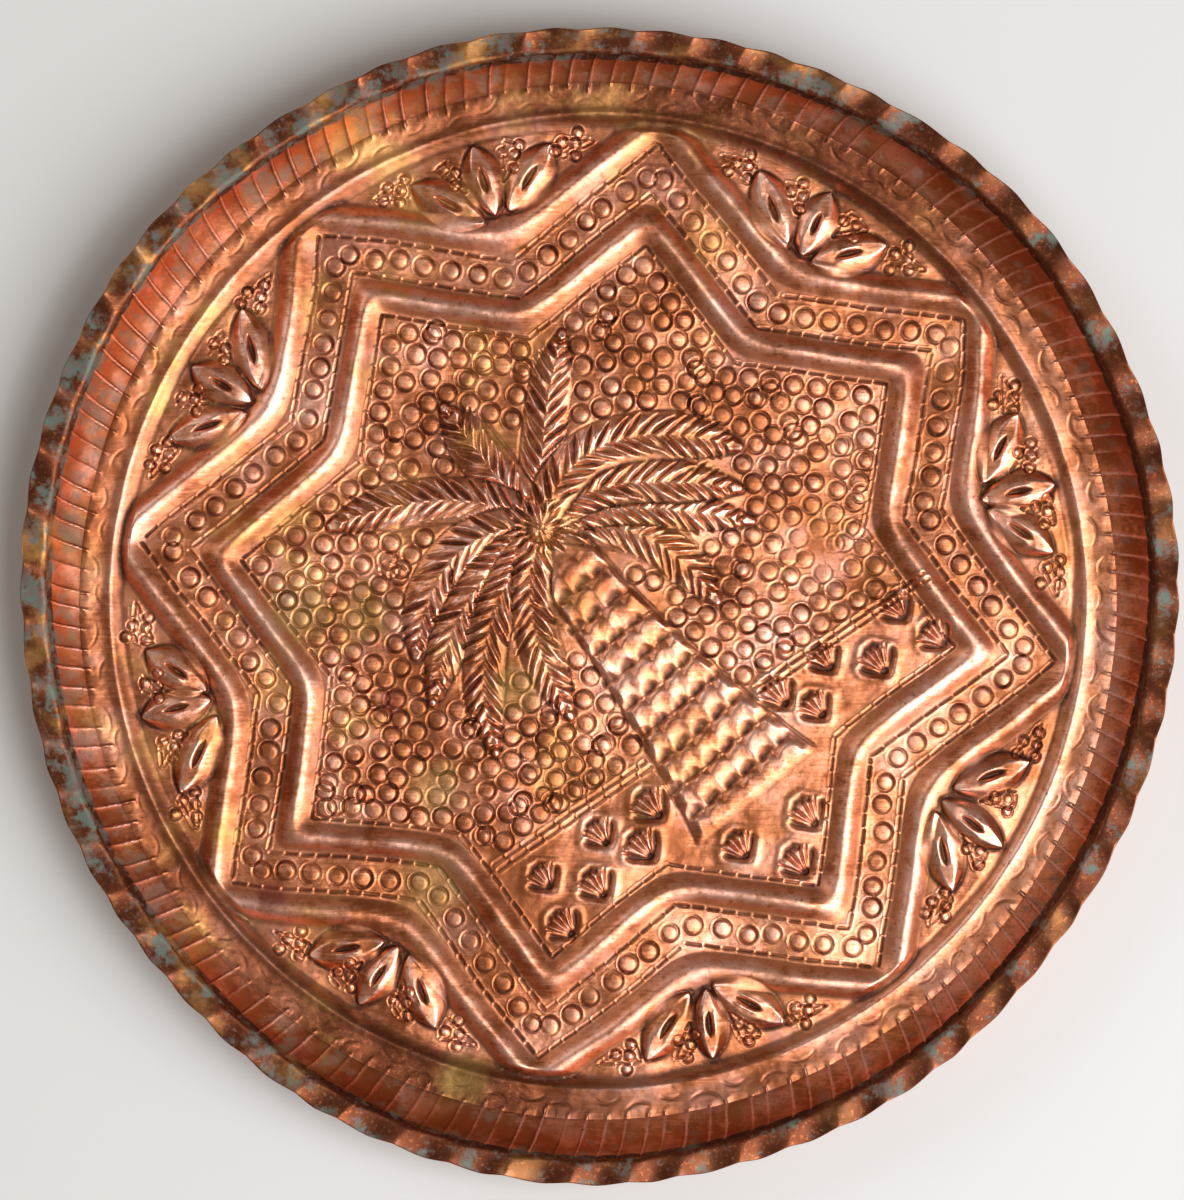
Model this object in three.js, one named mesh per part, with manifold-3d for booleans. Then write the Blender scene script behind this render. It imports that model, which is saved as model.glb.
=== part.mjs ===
// Hammered copper tray, millimetres, +Z up.
//
// The tray is one raised sheet.  Each mesh below is one zone of that sheet, parted at a line
// where the smith changed tools: the palm panel, the two raised star ridges, the band of ring
// punches between them, the eight leaf panels, the step round the floor, the cove, the fluted
// wall and the crimped rim.  The origin is the centre of the flat underside that the tray
// stands on.
import * as THREE from 'three';
import { mergeVertices } from 'three/addons/utils/BufferGeometryUtils.js';
import Module from 'manifold-3d';

// ---- driving dimensions -----------------------------------------------------------------
const TRAY_RADIUS = 210;          // centre to the mean outer edge of the rim
const SHEET = 1.0;                // thickness of the copper
const CHASING_DEPTH = 0.8;        // how far the punched floor hangs below its own background
const FLOOR_TOP = SHEET + CHASING_DEPTH;
const SEAM = 0.3;                 // gap between neighbouring zones

// The star is two equal squares, one turned 45 degrees.  Its lines are told by their level:
// the distance from the centre to a side, measured square to that side.
const STAR_TURN = THREE.MathUtils.degToRad(37.5);   // direction of one of the eight tips
const STAR_TIPS = 8;
const FIELD_LEVEL = 0.446 * TRAY_RADIUS;            // edge of the palm panel
const INNER_RIDGE_LEVEL = 0.508 * TRAY_RADIUS;      // outer toe of the inner ridge
const BAND_LEVEL = 0.572 * TRAY_RADIUS;             // outer edge of the ring-punched band
const OUTER_RIDGE_LEVEL = 0.634 * TRAY_RADIUS;      // outer toe of the outer ridge
const RIDGE_RISE = 3.2;                             // crest of a ridge above the floor

const STEP_RADIUS = 0.832 * TRAY_RADIUS;            // foot of the step round the floor
const COVE_RADIUS = 0.860 * TRAY_RADIUS;            // where the step rounds over into the cove
const WALL_RADIUS = 0.906 * TRAY_RADIUS;            // foot of the fluted wall
const NECK_RADIUS = 0.963 * TRAY_RADIUS;            // top of the wall, under the rim
const LIP_RADIUS = 0.956 * TRAY_RADIUS;             // inner fold of the rim, over the neck

const COVE_RISE = 2.8;                              // cove above the floor at its inner edge
const WALL_FOOT_RISE = 3.8;                         // cove above the floor at the wall
const NECK_HEIGHT = 25;
const RIM_HEIGHT = 29;                              // mean height of the rim's middle plane

const FLUTES = 160;
const FLUTE_DEPTH = 0.5;
const WAVES = 64;
const WAVE_HEIGHT = 1.4;                            // crest above the rim's middle plane
const EDGE_SCALLOP = 0.9;                           // how far the outer edge moves in and out

const ROUND_STEPS = 96;                            // facets round the plain rings
const COLUMNS_PER_FLUTE = 2;
const COLUMNS_PER_WAVE = 2;
const RIDGE_STEPS = 6;                              // facets across a ridge

const FULL_TURN = 2 * Math.PI;

// ---- the star ---------------------------------------------------------------------------

// Distance from the centre to a star line of the given level, in the direction angle.
function starRadius(level, angle) {
  const sector = FULL_TURN / STAR_TIPS;
  const turned = THREE.MathUtils.euclideanModulo(angle - STAR_TURN, sector);
  const fromNotch = Math.abs(turned - sector / 2);
  return level / Math.cos(Math.PI / 4 - (sector / 2 - fromNotch));
}

// The sixteen corner directions: a tip, a notch, a tip and so on.
const starAngles = Array.from({ length: 2 * STAR_TIPS }, (_, i) =>
  STAR_TURN + (i * FULL_TURN) / (2 * STAR_TIPS));

function starPoint(level, angle) {
  const radius = starRadius(level, angle);
  return new THREE.Vector2(radius * Math.cos(angle), radius * Math.sin(angle));
}

// ---- solids from sections ---------------------------------------------------------------

// Carries a closed section round the Z axis.  The section's points run along its upper side
// from the inside out and back along its lower side, and place(point, angle) says where a
// point of the section comes in that direction.
function ringSolid(section, angles, place) {
  const positions = [];
  const indices = [];
  const rows = section.length;
  angles.forEach((angle, column) => {
    section.forEach((point, row) => {
      positions.push(...place(point, angle));
      const nextRow = (row + 1) % rows;
      const here = column * rows;
      const next = ((column + 1) % angles.length) * rows;
      indices.push(here + row, here + nextRow, next + nextRow);
      indices.push(here + row, next + nextRow, next + row);
    });
  });
  const geometry = new THREE.BufferGeometry();
  geometry.setAttribute('position', new THREE.Float32BufferAttribute(positions, 3));
  geometry.setIndex(indices);
  geometry.computeVertexNormals();
  return geometry;
}

function evenAngles(count) {
  return Array.from({ length: count }, (_, i) => (i * FULL_TURN) / count);
}

// The section of a sheet that follows a middle line of (radius, height) points.  The sheet's
// two ends are cut along the given directions, so that neighbouring zones meet squarely.
function sheetSection(middle, startCut, endCut) {
  const last = middle.length - 1;
  const upper = [];
  const lower = [];
  middle.forEach((point, i) => {
    const before = middle[Math.max(i - 1, 0)];
    const after = middle[Math.min(i + 1, last)];
    const along = after.clone().sub(before).normalize();
    let across = new THREE.Vector2(-along.y, along.x);
    if (i === 0) across = startCut;
    if (i === last) across = endCut;
    upper.push(point.clone().addScaledVector(across, SHEET / 2));
    lower.push(point.clone().addScaledVector(across, -SHEET / 2));
  });
  return [...upper, ...lower.reverse()];
}

const UP = new THREE.Vector2(0, 1);
const INWARD = new THREE.Vector2(-1, 0);

const onCircle = (point, angle) => [
  point.x * Math.cos(angle),
  point.x * Math.sin(angle),
  point.y,
];

const onStar = (point, angle) => {
  const corner = starPoint(point.x, angle);
  return [corner.x, corner.y, point.y];
};

// A flat plate between two levels of the star.
function plateSection(innerLevel, outerLevel) {
  return [
    new THREE.Vector2(innerLevel, FLOOR_TOP),
    new THREE.Vector2(outerLevel, FLOOR_TOP),
    new THREE.Vector2(outerLevel, 0),
    new THREE.Vector2(innerLevel, 0),
  ];
}

// A half-round ridge of bent sheet between two levels of the star.
function ridgeSection(innerLevel, outerLevel) {
  const middle = Array.from({ length: RIDGE_STEPS + 1 }, (_, i) => {
    const across = i / RIDGE_STEPS;
    const level = THREE.MathUtils.lerp(innerLevel, outerLevel, across);
    const rise = RIDGE_RISE * Math.sin(Math.PI * across);
    return new THREE.Vector2(level, FLOOR_TOP - SHEET / 2 + rise);
  });
  return sheetSection(middle, UP, UP);
}

// ---- cutting ----------------------------------------------------------------------------
const wasm = await Module();
wasm.setup();

function toSolid(geometry) {
  const bare = geometry.clone();
  bare.deleteAttribute('normal');
  bare.deleteAttribute('uv');
  const merged = mergeVertices(bare);
  return new wasm.Manifold(new wasm.Mesh({
    numProp: 3,
    vertProperties: new Float32Array(merged.getAttribute('position').array),
    triVerts: new Uint32Array(merged.getIndex().array),
  }));
}

function toGeometry(solid) {
  const mesh = solid.getMesh();
  const geometry = new THREE.BufferGeometry();
  geometry.setAttribute('position', new THREE.Float32BufferAttribute(mesh.vertProperties, 3));
  geometry.setIndex(Array.from(mesh.triVerts));
  geometry.computeVertexNormals();
  return geometry;
}

// ---- the zones --------------------------------------------------------------------------

function palmPanel() {
  const outline = new THREE.Shape(starAngles.map((angle) =>
    starPoint(FIELD_LEVEL - SEAM / 2, angle)));
  return new THREE.ExtrudeGeometry(outline, { depth: FLOOR_TOP, bevelEnabled: false });
}

function innerStarRidge() {
  const section = ridgeSection(FIELD_LEVEL + SEAM / 2, INNER_RIDGE_LEVEL - SEAM / 2);
  return ringSolid(section, starAngles, onStar);
}

function ringPunchedBand() {
  const section = plateSection(INNER_RIDGE_LEVEL + SEAM / 2, BAND_LEVEL - SEAM / 2);
  return ringSolid(section, starAngles, onStar);
}

// The tips of the outer ridge run into the step round the floor, and are cut off there.
function outerStarRidge() {
  const section = ridgeSection(BAND_LEVEL + SEAM / 2, OUTER_RIDGE_LEVEL - SEAM / 2);
  const ridge = toSolid(ringSolid(section, starAngles, onStar));
  const disc = new THREE.CylinderGeometry(
    STEP_RADIUS - SEAM / 2, STEP_RADIUS - SEAM / 2, 4 * RIM_HEIGHT, ROUND_STEPS);
  disc.rotateX(Math.PI / 2);
  return toGeometry(ridge.intersect(toSolid(disc)));
}

// One leaf panel fills the space between two tips of the star, out to the step.
function leafPanel(index) {
  const notch = STAR_TURN + ((index + 0.5) * FULL_TURN) / STAR_TIPS;
  const level = OUTER_RIDGE_LEVEL + SEAM / 2;
  const radius = STEP_RADIUS - SEAM / 2;
  const apex = starPoint(level, notch);
  const halfSpread = Math.acos(level / radius) - Math.PI / STAR_TIPS;
  const start = notch - halfSpread;
  const outline = new THREE.Shape();
  outline.moveTo(apex.x, apex.y);
  outline.lineTo(radius * Math.cos(start), radius * Math.sin(start));
  outline.absarc(0, 0, radius, start, notch + halfSpread, false);
  outline.closePath();
  return new THREE.ExtrudeGeometry(outline, {
    depth: FLOOR_TOP,
    bevelEnabled: false,
    curveSegments: ROUND_STEPS / STAR_TIPS,
  });
}

function plainRing(middle, startCut, endCut) {
  return ringSolid(sheetSection(middle, startCut, endCut), evenAngles(ROUND_STEPS), onCircle);
}

const FLOOR_MIDDLE = FLOOR_TOP - SHEET / 2;

function floorStep() {
  const inner = STEP_RADIUS + SEAM / 2;
  const outer = COVE_RADIUS - SEAM / 2;
  const width = outer - inner;
  return plainRing([
    new THREE.Vector2(inner, FLOOR_MIDDLE),
    new THREE.Vector2(inner + 0.2 * width, FLOOR_MIDDLE + 0.15 * COVE_RISE),
    new THREE.Vector2(inner + 0.7 * width, FLOOR_MIDDLE + 0.9 * COVE_RISE),
    new THREE.Vector2(outer, FLOOR_MIDDLE + COVE_RISE),
  ], UP, UP);
}

function cove() {
  const inner = COVE_RADIUS + SEAM / 2;
  const outer = WALL_RADIUS - SEAM / 2;
  return plainRing([
    new THREE.Vector2(inner, FLOOR_MIDDLE + COVE_RISE),
    new THREE.Vector2((inner + outer) / 2, FLOOR_MIDDLE + COVE_RISE),
    new THREE.Vector2(outer, FLOOR_MIDDLE + WALL_FOOT_RISE),
  ], UP, UP);
}

// The wall's flutes are shallow panels between sharp raised creases, and die out at its foot
// and at its top.
function flutedWall() {
  const foot = new THREE.Vector2(WALL_RADIUS + SEAM / 2, FLOOR_MIDDLE + WALL_FOOT_RISE);
  const top = new THREE.Vector2(NECK_RADIUS, NECK_HEIGHT);
  const middle = [foot, foot.clone().lerp(top, 0.15), foot.clone().lerp(top, 0.85), top];
  const section = sheetSection(middle, UP, INWARD);
  const low = middle[1].y - SHEET;
  const high = middle[2].y + SHEET;
  return ringSolid(section, evenAngles(FLUTES * COLUMNS_PER_FLUTE), (point, angle) => {
    const fluted = point.y > low && point.y < high;
    const crease = fluted ? (FLUTE_DEPTH / 2) * Math.cos(FLUTES * angle) : 0;
    return onCircle(new THREE.Vector2(point.x - crease, point.y), angle);
  });
}

// The rim folds in over the neck and out again, and its outer part is crimped into waves.
function crimpedRim() {
  const middle = [
    new THREE.Vector2(NECK_RADIUS, NECK_HEIGHT + SEAM),
    new THREE.Vector2(LIP_RADIUS - SHEET, NECK_HEIGHT + 0.5 * (RIM_HEIGHT - NECK_HEIGHT)),
    new THREE.Vector2(LIP_RADIUS + SHEET, RIM_HEIGHT),
    new THREE.Vector2(TRAY_RADIUS, RIM_HEIGHT),
  ];
  const section = sheetSection(middle, INWARD, UP);
  const waveStart = LIP_RADIUS + 2 * SHEET;
  return ringSolid(section, evenAngles(WAVES * COLUMNS_PER_WAVE), (point, angle) => {
    const reach = Math.max(0, point.x - waveStart) / (TRAY_RADIUS - waveStart);
    const wave = reach * Math.cos(WAVES * angle);
    return onCircle(
      new THREE.Vector2(point.x - EDGE_SCALLOP * wave, point.y + WAVE_HEIGHT * wave), angle);
  });
}

// ---- the tray ---------------------------------------------------------------------------
const finishes = {
  chased: { color: 0xc98a6b, roughness: 0.38 },
  ridge: { color: 0xd2957a, roughness: 0.30 },
  cove: { color: 0xc27f57, roughness: 0.33 },
  wall: { color: 0x9a5530, roughness: 0.42 },
  rim: { color: 0x8a4a2e, roughness: 0.45 },
};

const tray = new THREE.Group();

function addZone(name, geometry, finish) {
  const material = new THREE.MeshStandardMaterial({ ...finishes[finish], metalness: 1 });
  const mesh = new THREE.Mesh(geometry, material);
  mesh.name = name;
  tray.add(mesh);
}

addZone('palm_panel', palmPanel(), 'chased');
addZone('inner_star_ridge', innerStarRidge(), 'ridge');
addZone('ring_punched_band', ringPunchedBand(), 'chased');
addZone('outer_star_ridge', outerStarRidge(), 'ridge');
for (let index = 0; index < STAR_TIPS; index += 1) {
  addZone(`leaf_panel_${index + 1}`, leafPanel(index), 'chased');
}
addZone('floor_step', floorStep(), 'cove');
addZone('cove', cove(), 'cove');
addZone('fluted_wall', flutedWall(), 'wall');
addZone('crimped_rim', crimpedRim(), 'rim');

export default tray;
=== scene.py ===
# %% [markdown]
# # A hammered copper tray
# The real tray is one round sheet of copper, one millimetre thick. The smith raised its wall,
# creased the wall into flutes, folded and crimped the rim, and then chased the floor from the
# front with a handful of small punches. So the lesson works the same way: the floor is a board
# of heights that takes one tool mark after another, and the mesh is hung on it at the end.
# Lengths are in millimetres until a mesh is made, because that is how a smith measures.

# %% Load the tray's frame
import math
import bpy
import numpy as np
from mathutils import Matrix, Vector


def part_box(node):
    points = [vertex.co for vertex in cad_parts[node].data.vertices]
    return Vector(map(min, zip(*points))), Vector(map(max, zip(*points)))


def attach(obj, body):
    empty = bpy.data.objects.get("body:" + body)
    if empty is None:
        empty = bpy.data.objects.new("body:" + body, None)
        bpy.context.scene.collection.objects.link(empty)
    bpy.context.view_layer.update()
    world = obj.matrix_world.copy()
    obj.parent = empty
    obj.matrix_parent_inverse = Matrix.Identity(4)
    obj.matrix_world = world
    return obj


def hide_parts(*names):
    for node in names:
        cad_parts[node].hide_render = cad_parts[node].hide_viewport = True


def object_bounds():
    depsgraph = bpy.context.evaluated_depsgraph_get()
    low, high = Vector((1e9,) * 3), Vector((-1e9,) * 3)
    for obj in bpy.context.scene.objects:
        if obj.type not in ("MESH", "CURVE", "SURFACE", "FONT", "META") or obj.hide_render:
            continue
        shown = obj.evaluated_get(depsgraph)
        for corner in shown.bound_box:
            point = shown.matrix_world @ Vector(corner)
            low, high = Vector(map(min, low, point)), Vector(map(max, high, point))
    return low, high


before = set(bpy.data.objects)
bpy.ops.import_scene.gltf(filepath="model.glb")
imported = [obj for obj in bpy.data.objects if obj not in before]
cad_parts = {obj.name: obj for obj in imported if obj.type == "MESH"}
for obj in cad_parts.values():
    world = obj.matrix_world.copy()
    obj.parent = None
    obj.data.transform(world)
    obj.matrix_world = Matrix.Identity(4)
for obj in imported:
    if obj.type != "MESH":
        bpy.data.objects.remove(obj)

cad_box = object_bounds()
MM = 0.001
SHEET = 1.0        # thickness of the copper
SEAM = 0.3         # the gap that the frame leaves between two zones of the sheet
STAR_TURN = math.radians(37.5)
TIP_FROM_X = math.radians(7.5)   # the tip nearest to the X axis is this far round from it


def corners(node):
    """The lowest and highest corner of a node, in millimetres."""
    low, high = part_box(node)
    return np.array(low) / MM, np.array(high) / MM


def star_line(node):
    """The level of a star-shaped node's outer line: its reach along X over that of level 1."""
    return corners(node)[1][0] / (math.sqrt(2) * math.cos(TIP_FROM_X)) + SEAM / 2


FLOOR = corners("palm_panel")[1][2]
FIELD_LINE = star_line("palm_panel")
INNER_LINE = star_line("inner_star_ridge")
BAND_LINE = star_line("ring_punched_band")
OUTER_LINE = BAND_LINE + (INNER_LINE - FIELD_LINE)
RIDGE_RISE = corners("outer_star_ridge")[1][2] - FLOOR
STEP_SHARE = 0.968      # the step's foot lies at this share of its outer radius
STEP_FOOT = -corners("floor_step")[0][0] * STEP_SHARE
COVE_EDGE = corners("floor_step")[1][0] + SEAM / 2
COVE_RISE = corners("floor_step")[1][2] - FLOOR
WALL_FOOT = corners("cove")[1][0] + SEAM / 2
WALL_FOOT_RISE = corners("cove")[1][2] - FLOOR
NECK = corners("fluted_wall")[1][0] - SHEET / 2
NECK_HEIGHT = corners("fluted_wall")[1][2] + SEAM / 2
RIM_TOP = corners("crimped_rim")[1][2]
WAVE_HEIGHT = 1.4       # how far a wave of the rim stands above the flange's middle
RIM_HEIGHT = RIM_TOP - SHEET / 2 - WAVE_HEIGHT
EDGE_SCALLOP = 0.9      # how far a wave pushes the edge out or in
TRAY_RADIUS = corners("crimped_rim")[1][0] - EDGE_SCALLOP
print("star lines", *np.round([FIELD_LINE, INNER_LINE, BAND_LINE, OUTER_LINE], 1))
print("rings", *np.round([STEP_FOOT, COVE_EDGE, WALL_FOOT, NECK, TRAY_RADIUS], 1))

# %% [markdown]
# ## The board
# A chaser sets the sheet in pitch and works it blow by blow. The board is a square grid of
# heights above the plain floor, four cells to the millimetre, fine enough for the narrowest
# punch. A mark only touches a small window of it, so hundreds of blows take seconds.

# %% A board of heights and one way to strike it
PITCH = 0.25
REACH = WALL_FOOT + 2
ticks = np.arange(-REACH, REACH + PITCH, PITCH)
X, Y = np.meshgrid(ticks, ticks)
board = np.zeros_like(X)
room = np.full_like(X, 50.0)     # how far each spot is from the nearest thing already drawn


def window(low_x, high_x, low_y, high_y):
    """The rows and columns of the board that cover a rectangle."""
    def cells(low, high):
        """The cells of one axis between two places, kept on the board."""
        start = int(np.clip((low + REACH) / PITCH, 0, len(ticks) - 1))
        stop = int(np.clip((high + REACH) / PITCH + 2, 1, len(ticks)))
        return slice(start, stop)
    return cells(low_y, high_y), cells(low_x, high_x)


def strike(centre, angle, reach, blow):
    """Adds blow(u, v) to the board round centre; u runs along angle and v square to it."""
    x, y = centre
    part = window(x - reach, x + reach, y - reach, y + reach)
    dx, dy = X[part] - x, Y[part] - y
    along, across = math.cos(angle), math.sin(angle)
    board[part] += blow(dx * along + dy * across, dy * along - dx * across)


def soften(heights, size):
    """Blurs a board with a bell curve, by damping its short waves."""
    waves = np.fft.rfft2(heights)
    fy = np.fft.fftfreq(heights.shape[0], PITCH)[:, None]
    fx = np.fft.rfftfreq(heights.shape[1], PITCH)[None, :]
    damping = np.exp(-2 * (math.pi * size) ** 2 * (fx**2 + fy**2))
    return np.fft.irfft2(waves * damping, heights.shape)


def step_up(value, low, high):
    """0 below low, 1 above high, and an even S between them."""
    t = np.clip((value - low) / (high - low), 0, 1)
    return t * t * (3 - 2 * t)


hand = np.random.default_rng(64)      # the hand's small errors, the same on every run


def unevenness(size):
    """A field of random dents of about one size, scaled to a spread of 1."""
    field = soften(hand.standard_normal(board.shape), size)
    return field / field.std()


steady = 1 - step_up(np.hypot(X, Y), STEP_FOOT - 22, STEP_FOOT - 2)
drift_x = 0.9 * unevenness(22) * steady
drift_y = 0.9 * unevenness(22) * steady
print("board", board.shape, "cells of", PITCH, "mm")

# %% [markdown]
# ## The star's two ridges
# The star is two equal squares, one turned by an eighth of a turn. A spot's level is its
# distance from the middle measured square to the nearest side: the larger of its two reaches
# in each square, and the smaller of the two squares' answers. A high power mean in place of
# the larger and the smaller rounds the corners over, as a hammer does. Each ridge is a bell
# between two levels, a little flattened on top.

# %% Star levels and ridges
RIDGE_POWER = 0.72      # below 1, it flattens the top of the bell


def star_level(x, y, hardness):
    """The power mean of the two squares' reaches; a larger hardness gives sharper corners."""
    def square(turn):
        """The power mean of a spot's two reaches in one square."""
        u = np.abs(x * math.cos(turn) + y * math.sin(turn)) + 1e-6
        v = np.abs(y * math.cos(turn) - x * math.sin(turn)) + 1e-6
        most = np.maximum(u, v)
        return most * ((u / most) ** hardness + (v / most) ** hardness) ** (1 / hardness)
    a, b = square(STAR_TURN), square(STAR_TURN + math.pi / 4)
    least = np.minimum(a, b)
    return least * ((least / a) ** hardness + (least / b) ** hardness) ** (-1 / hardness)


level = star_level(X + drift_x, Y + drift_y, 34)
sharp_level = star_level(X + drift_x, Y + drift_y, 200)
radius = np.hypot(X, Y)


def raise_ridge(inner, outer):
    """A bell across two star levels: half a cosine wave each way, a little flattened on top."""
    across = np.clip((level - inner) / (outer - inner), 0, 1)
    return RIDGE_RISE * (0.5 - 0.5 * np.cos(2 * math.pi * across)) ** RIDGE_POWER


on_floor = 1 - step_up(radius, STEP_FOOT - 2, STEP_FOOT + 3)
board += raise_ridge(FIELD_LINE + 0.8, INNER_LINE - 0.6)
board += raise_ridge(BAND_LINE + 0.8, OUTER_LINE) * on_floor
print("ridge rise", round(RIDGE_RISE, 2), "mm")

# %% [markdown]
# ## Punches
# Three tools make all the floor's small marks. A liner is a blunt chisel that leaves a short
# trench, and a row of its marks with small gaps is a traced line. A gouge leaves a trench that
# is pointed at both ends. A ring punch leaves a circular trench with a low dome inside, and a
# small one leaves a berry.

# %% The tools
def liner(start, end, width=1.5, depth=0.7, burr=0.12):
    """A trench with a bell-shaped section and round ends, and a low burr beside it."""
    (x0, y0), (x1, y1) = start, end
    length = math.hypot(x1 - x0, y1 - y0)
    angle = math.atan2(y1 - y0, x1 - x0)

    def blow(u, v):
        """Two bells of the distance to the mark's middle line: the trench, and the burr."""
        off = np.hypot(np.maximum(np.abs(u) - length / 2 + width / 2, 0), v)
        reach = off / (width / 2)
        return -depth * np.exp(-(reach**2)) + burr * np.exp(-((reach - 2.0) ** 2) * 2)
    strike(((x0 + x1) / 2, (y0 + y1) / 2), angle, length / 2 + 2 * width, blow)


def trace(points, dash=5.0, gap=1.1, width=1.4, depth=0.65):
    """A row of liner marks along a path, with the hand's small errors in place and depth."""
    points = np.asarray(points, float)
    steps = np.hypot(*np.diff(points, axis=0).T)
    along = np.concatenate([[0], np.cumsum(steps)])
    place = 0.0
    while place < along[-1] - 0.4 * dash:
        mark = dash * hand.uniform(0.85, 1.15)
        ends = np.array([place, min(place + mark, along[-1])])
        x = np.interp(ends, along, points[:, 0]) + hand.normal(0, 0.12, 2)
        y = np.interp(ends, along, points[:, 1]) + hand.normal(0, 0.12, 2)
        liner((x[0], y[0]), (x[1], y[1]), width, depth * hand.uniform(0.7, 1.2))
        place += mark + gap


def gouge(start, end, width=2.3, depth=1.1):
    """A pointed trench: its width follows an arch, and the copper swells up on both sides."""
    (x0, y0), (x1, y1) = start, end
    length = math.hypot(x1 - x0, y1 - y0)

    def blow(u, v):
        """A sloping trench under the arch, plus a bell-shaped swell along its edges."""
        arch = np.clip(1 - (2 * u / length) ** 2, 0, 1)
        half_width = width / 2 * arch**0.6 + 0.05
        off = np.abs(v)
        trench = -depth * arch**0.5 * np.clip(1 - off / half_width, 0, 1) ** 0.8
        swell = 0.3 * depth * arch * np.exp(-(((off - half_width - 0.5) / 0.6) ** 2))
        return trench + swell
    strike(((x0 + x1) / 2, (y0 + y1) / 2), math.atan2(y1 - y0, x1 - x0), length / 2 + width, blow)


RING = 3.7      # radius of the ring punch


def ring_punch(centre, size=RING, depth=0.62, width=0.42, dome=0.30):
    """A round trench, deeper on the side the punch leaned to, with a low dome inside it."""
    lean = hand.uniform(0, 2 * math.pi)
    uneven = hand.uniform(0.1, 0.75)
    weight = hand.uniform(0.7, 1.2)

    def blow(u, v):
        """Bells of the distance to the ring for trench and burr, and a parabola inside."""
        off = np.hypot(u, v)
        leaning = 1 + uneven * (u / (off + 0.3))
        trench = -depth * leaning * np.exp(-(((off - size + width) / width) ** 2))
        crown = dome * np.clip(1 - (off / (size - width)) ** 2, 0, 1)
        burr = 0.12 * leaning * np.exp(-(((off - size - 0.9 * width) / width) ** 2))
        return weight * (trench + crown + burr)
    strike(centre, lean, size + 3 * width, blow)


print("ring punch", 2 * RING, "mm across")

# %% [markdown]
# ## Lines and rings of the star
# A traced line runs along each edge of the ring-punched band and round the palm field. The
# band holds one row of rings that nearly touch. The corners come from the star's own
# formula: a tip lies at the level times root two, a notch at the level over cos 22.5 degrees.

# %% Trace the star and punch its band
def star_corners(at_level):
    """The sixteen corners of a star line, tips and notches in turn."""
    turns = STAR_TURN + np.arange(17) * math.pi / 8
    reach = np.where(np.arange(17) % 2 == 0, math.sqrt(2), 1 / math.cos(math.pi / 8))
    return np.stack([at_level * reach * np.cos(turns), at_level * reach * np.sin(turns)], 1)


def wander(points):
    """Moves points by the same drift that the ridges follow."""
    points = np.atleast_2d(points)
    cells = np.clip(((points + REACH) / PITCH).astype(int), 0, len(ticks) - 1)
    drift = np.stack([drift_x[cells[:, 1], cells[:, 0]], drift_y[cells[:, 1], cells[:, 0]]], 1)
    return points - drift


def side_points(start, end, count=12):
    """Even points along one side of the star, moved by the hand's drift."""
    t = np.linspace(0, 1, count)[:, None]
    return wander(start + (end - start) * t)


RING_SPACING = 8.5      # from one ring of the band to the next

for line, width in ((FIELD_LINE - 0.4, 0.9), (INNER_LINE + 0.3, 1.0), (BAND_LINE - 0.3, 1.0)):
    spots = star_corners(line)
    for start, end in zip(spots[:-1], spots[1:]):
        trace(side_points(start, end), dash=5.4, gap=0.7, width=width, depth=0.5)

ring_count = 0
spots = star_corners((INNER_LINE + BAND_LINE) / 2)
for start, end in zip(spots[:-1], spots[1:]):
    length = np.hypot(*(end - start))
    fit = int(length // RING_SPACING)
    for t in (np.arange(fit) + 0.5) / fit:
        where = wander(start + (end - start) * t)[0] + hand.normal(0, 0.5, 2)
        ring_punch(where, size=RING * hand.uniform(0.95, 1.05))
        ring_count += 1
print("rings in the band:", ring_count)

# %% [markdown]
# ## The palm
# The palm is drawn along curves. A rib or a trunk is a Bezier curve, and a spot of the board
# is told by how far along the curve it lies and how far to the side of it.

# %% Curves on the board
def bezier(controls, count=40):
    """Even steps along a Bezier curve: the controls weighted by Bernstein's polynomials."""
    controls = np.asarray(controls, float)
    order = len(controls) - 1
    t = np.linspace(0, 1, count)[:, None]
    weights = [math.comb(order, i) * t**i * (1 - t) ** (order - i) for i in range(order + 1)]
    return sum(w * c for w, c in zip(weights, controls))


def beside(path, part):
    """For each spot of a window: distance along the path, and signed distance to its side."""
    x, y = X[part], Y[part]
    nearest = np.full(x.shape, 1e9)
    along = np.zeros_like(x)
    side = np.zeros_like(x)
    passed = 0.0
    for start, end in zip(path[:-1], path[1:]):
        run = end - start
        length = math.hypot(*run)
        run = run / length
        u = (x - start[0]) * run[0] + (y - start[1]) * run[1]
        v = (y - start[1]) * run[0] - (x - start[0]) * run[1]
        off = np.hypot(u - np.clip(u, 0, length), v)
        closer = off < nearest
        nearest = np.where(closer, off, nearest)
        along = np.where(closer, passed + np.clip(u, 0, length), along)
        side = np.where(closer, np.where(v < 0, -off, off), side)
        passed += length
    return along, side, passed


PICTURE = 1.014      # the picture is drawn this much larger than its working sketch


def sketch(*points):
    """Points of the working sketch at the picture's size."""
    return np.array(points, float) * PICTURE


def window_of(path, margin):
    """The window of the board that covers a path and a margin round it."""
    low, high = path.min(0) - margin, path.max(0) + margin
    return window(low[0], high[0], low[1], high[1])


def point_at(path, place):
    """The point and the direction of a path, a given distance along it."""
    along = np.concatenate([[0], np.cumsum(np.hypot(*np.diff(path, axis=0).T))])
    x, y = np.interp(place, along, path[:, 0]), np.interp(place, along, path[:, 1])
    ahead = min(place + 1, along[-1])
    behind = max(ahead - 2, 0)
    dx = np.interp(ahead, along, path[:, 0]) - np.interp(behind, along, path[:, 0])
    dy = np.interp(ahead, along, path[:, 1]) - np.interp(behind, along, path[:, 1])
    return np.array([x, y]), math.atan2(dy, dx)


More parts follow.
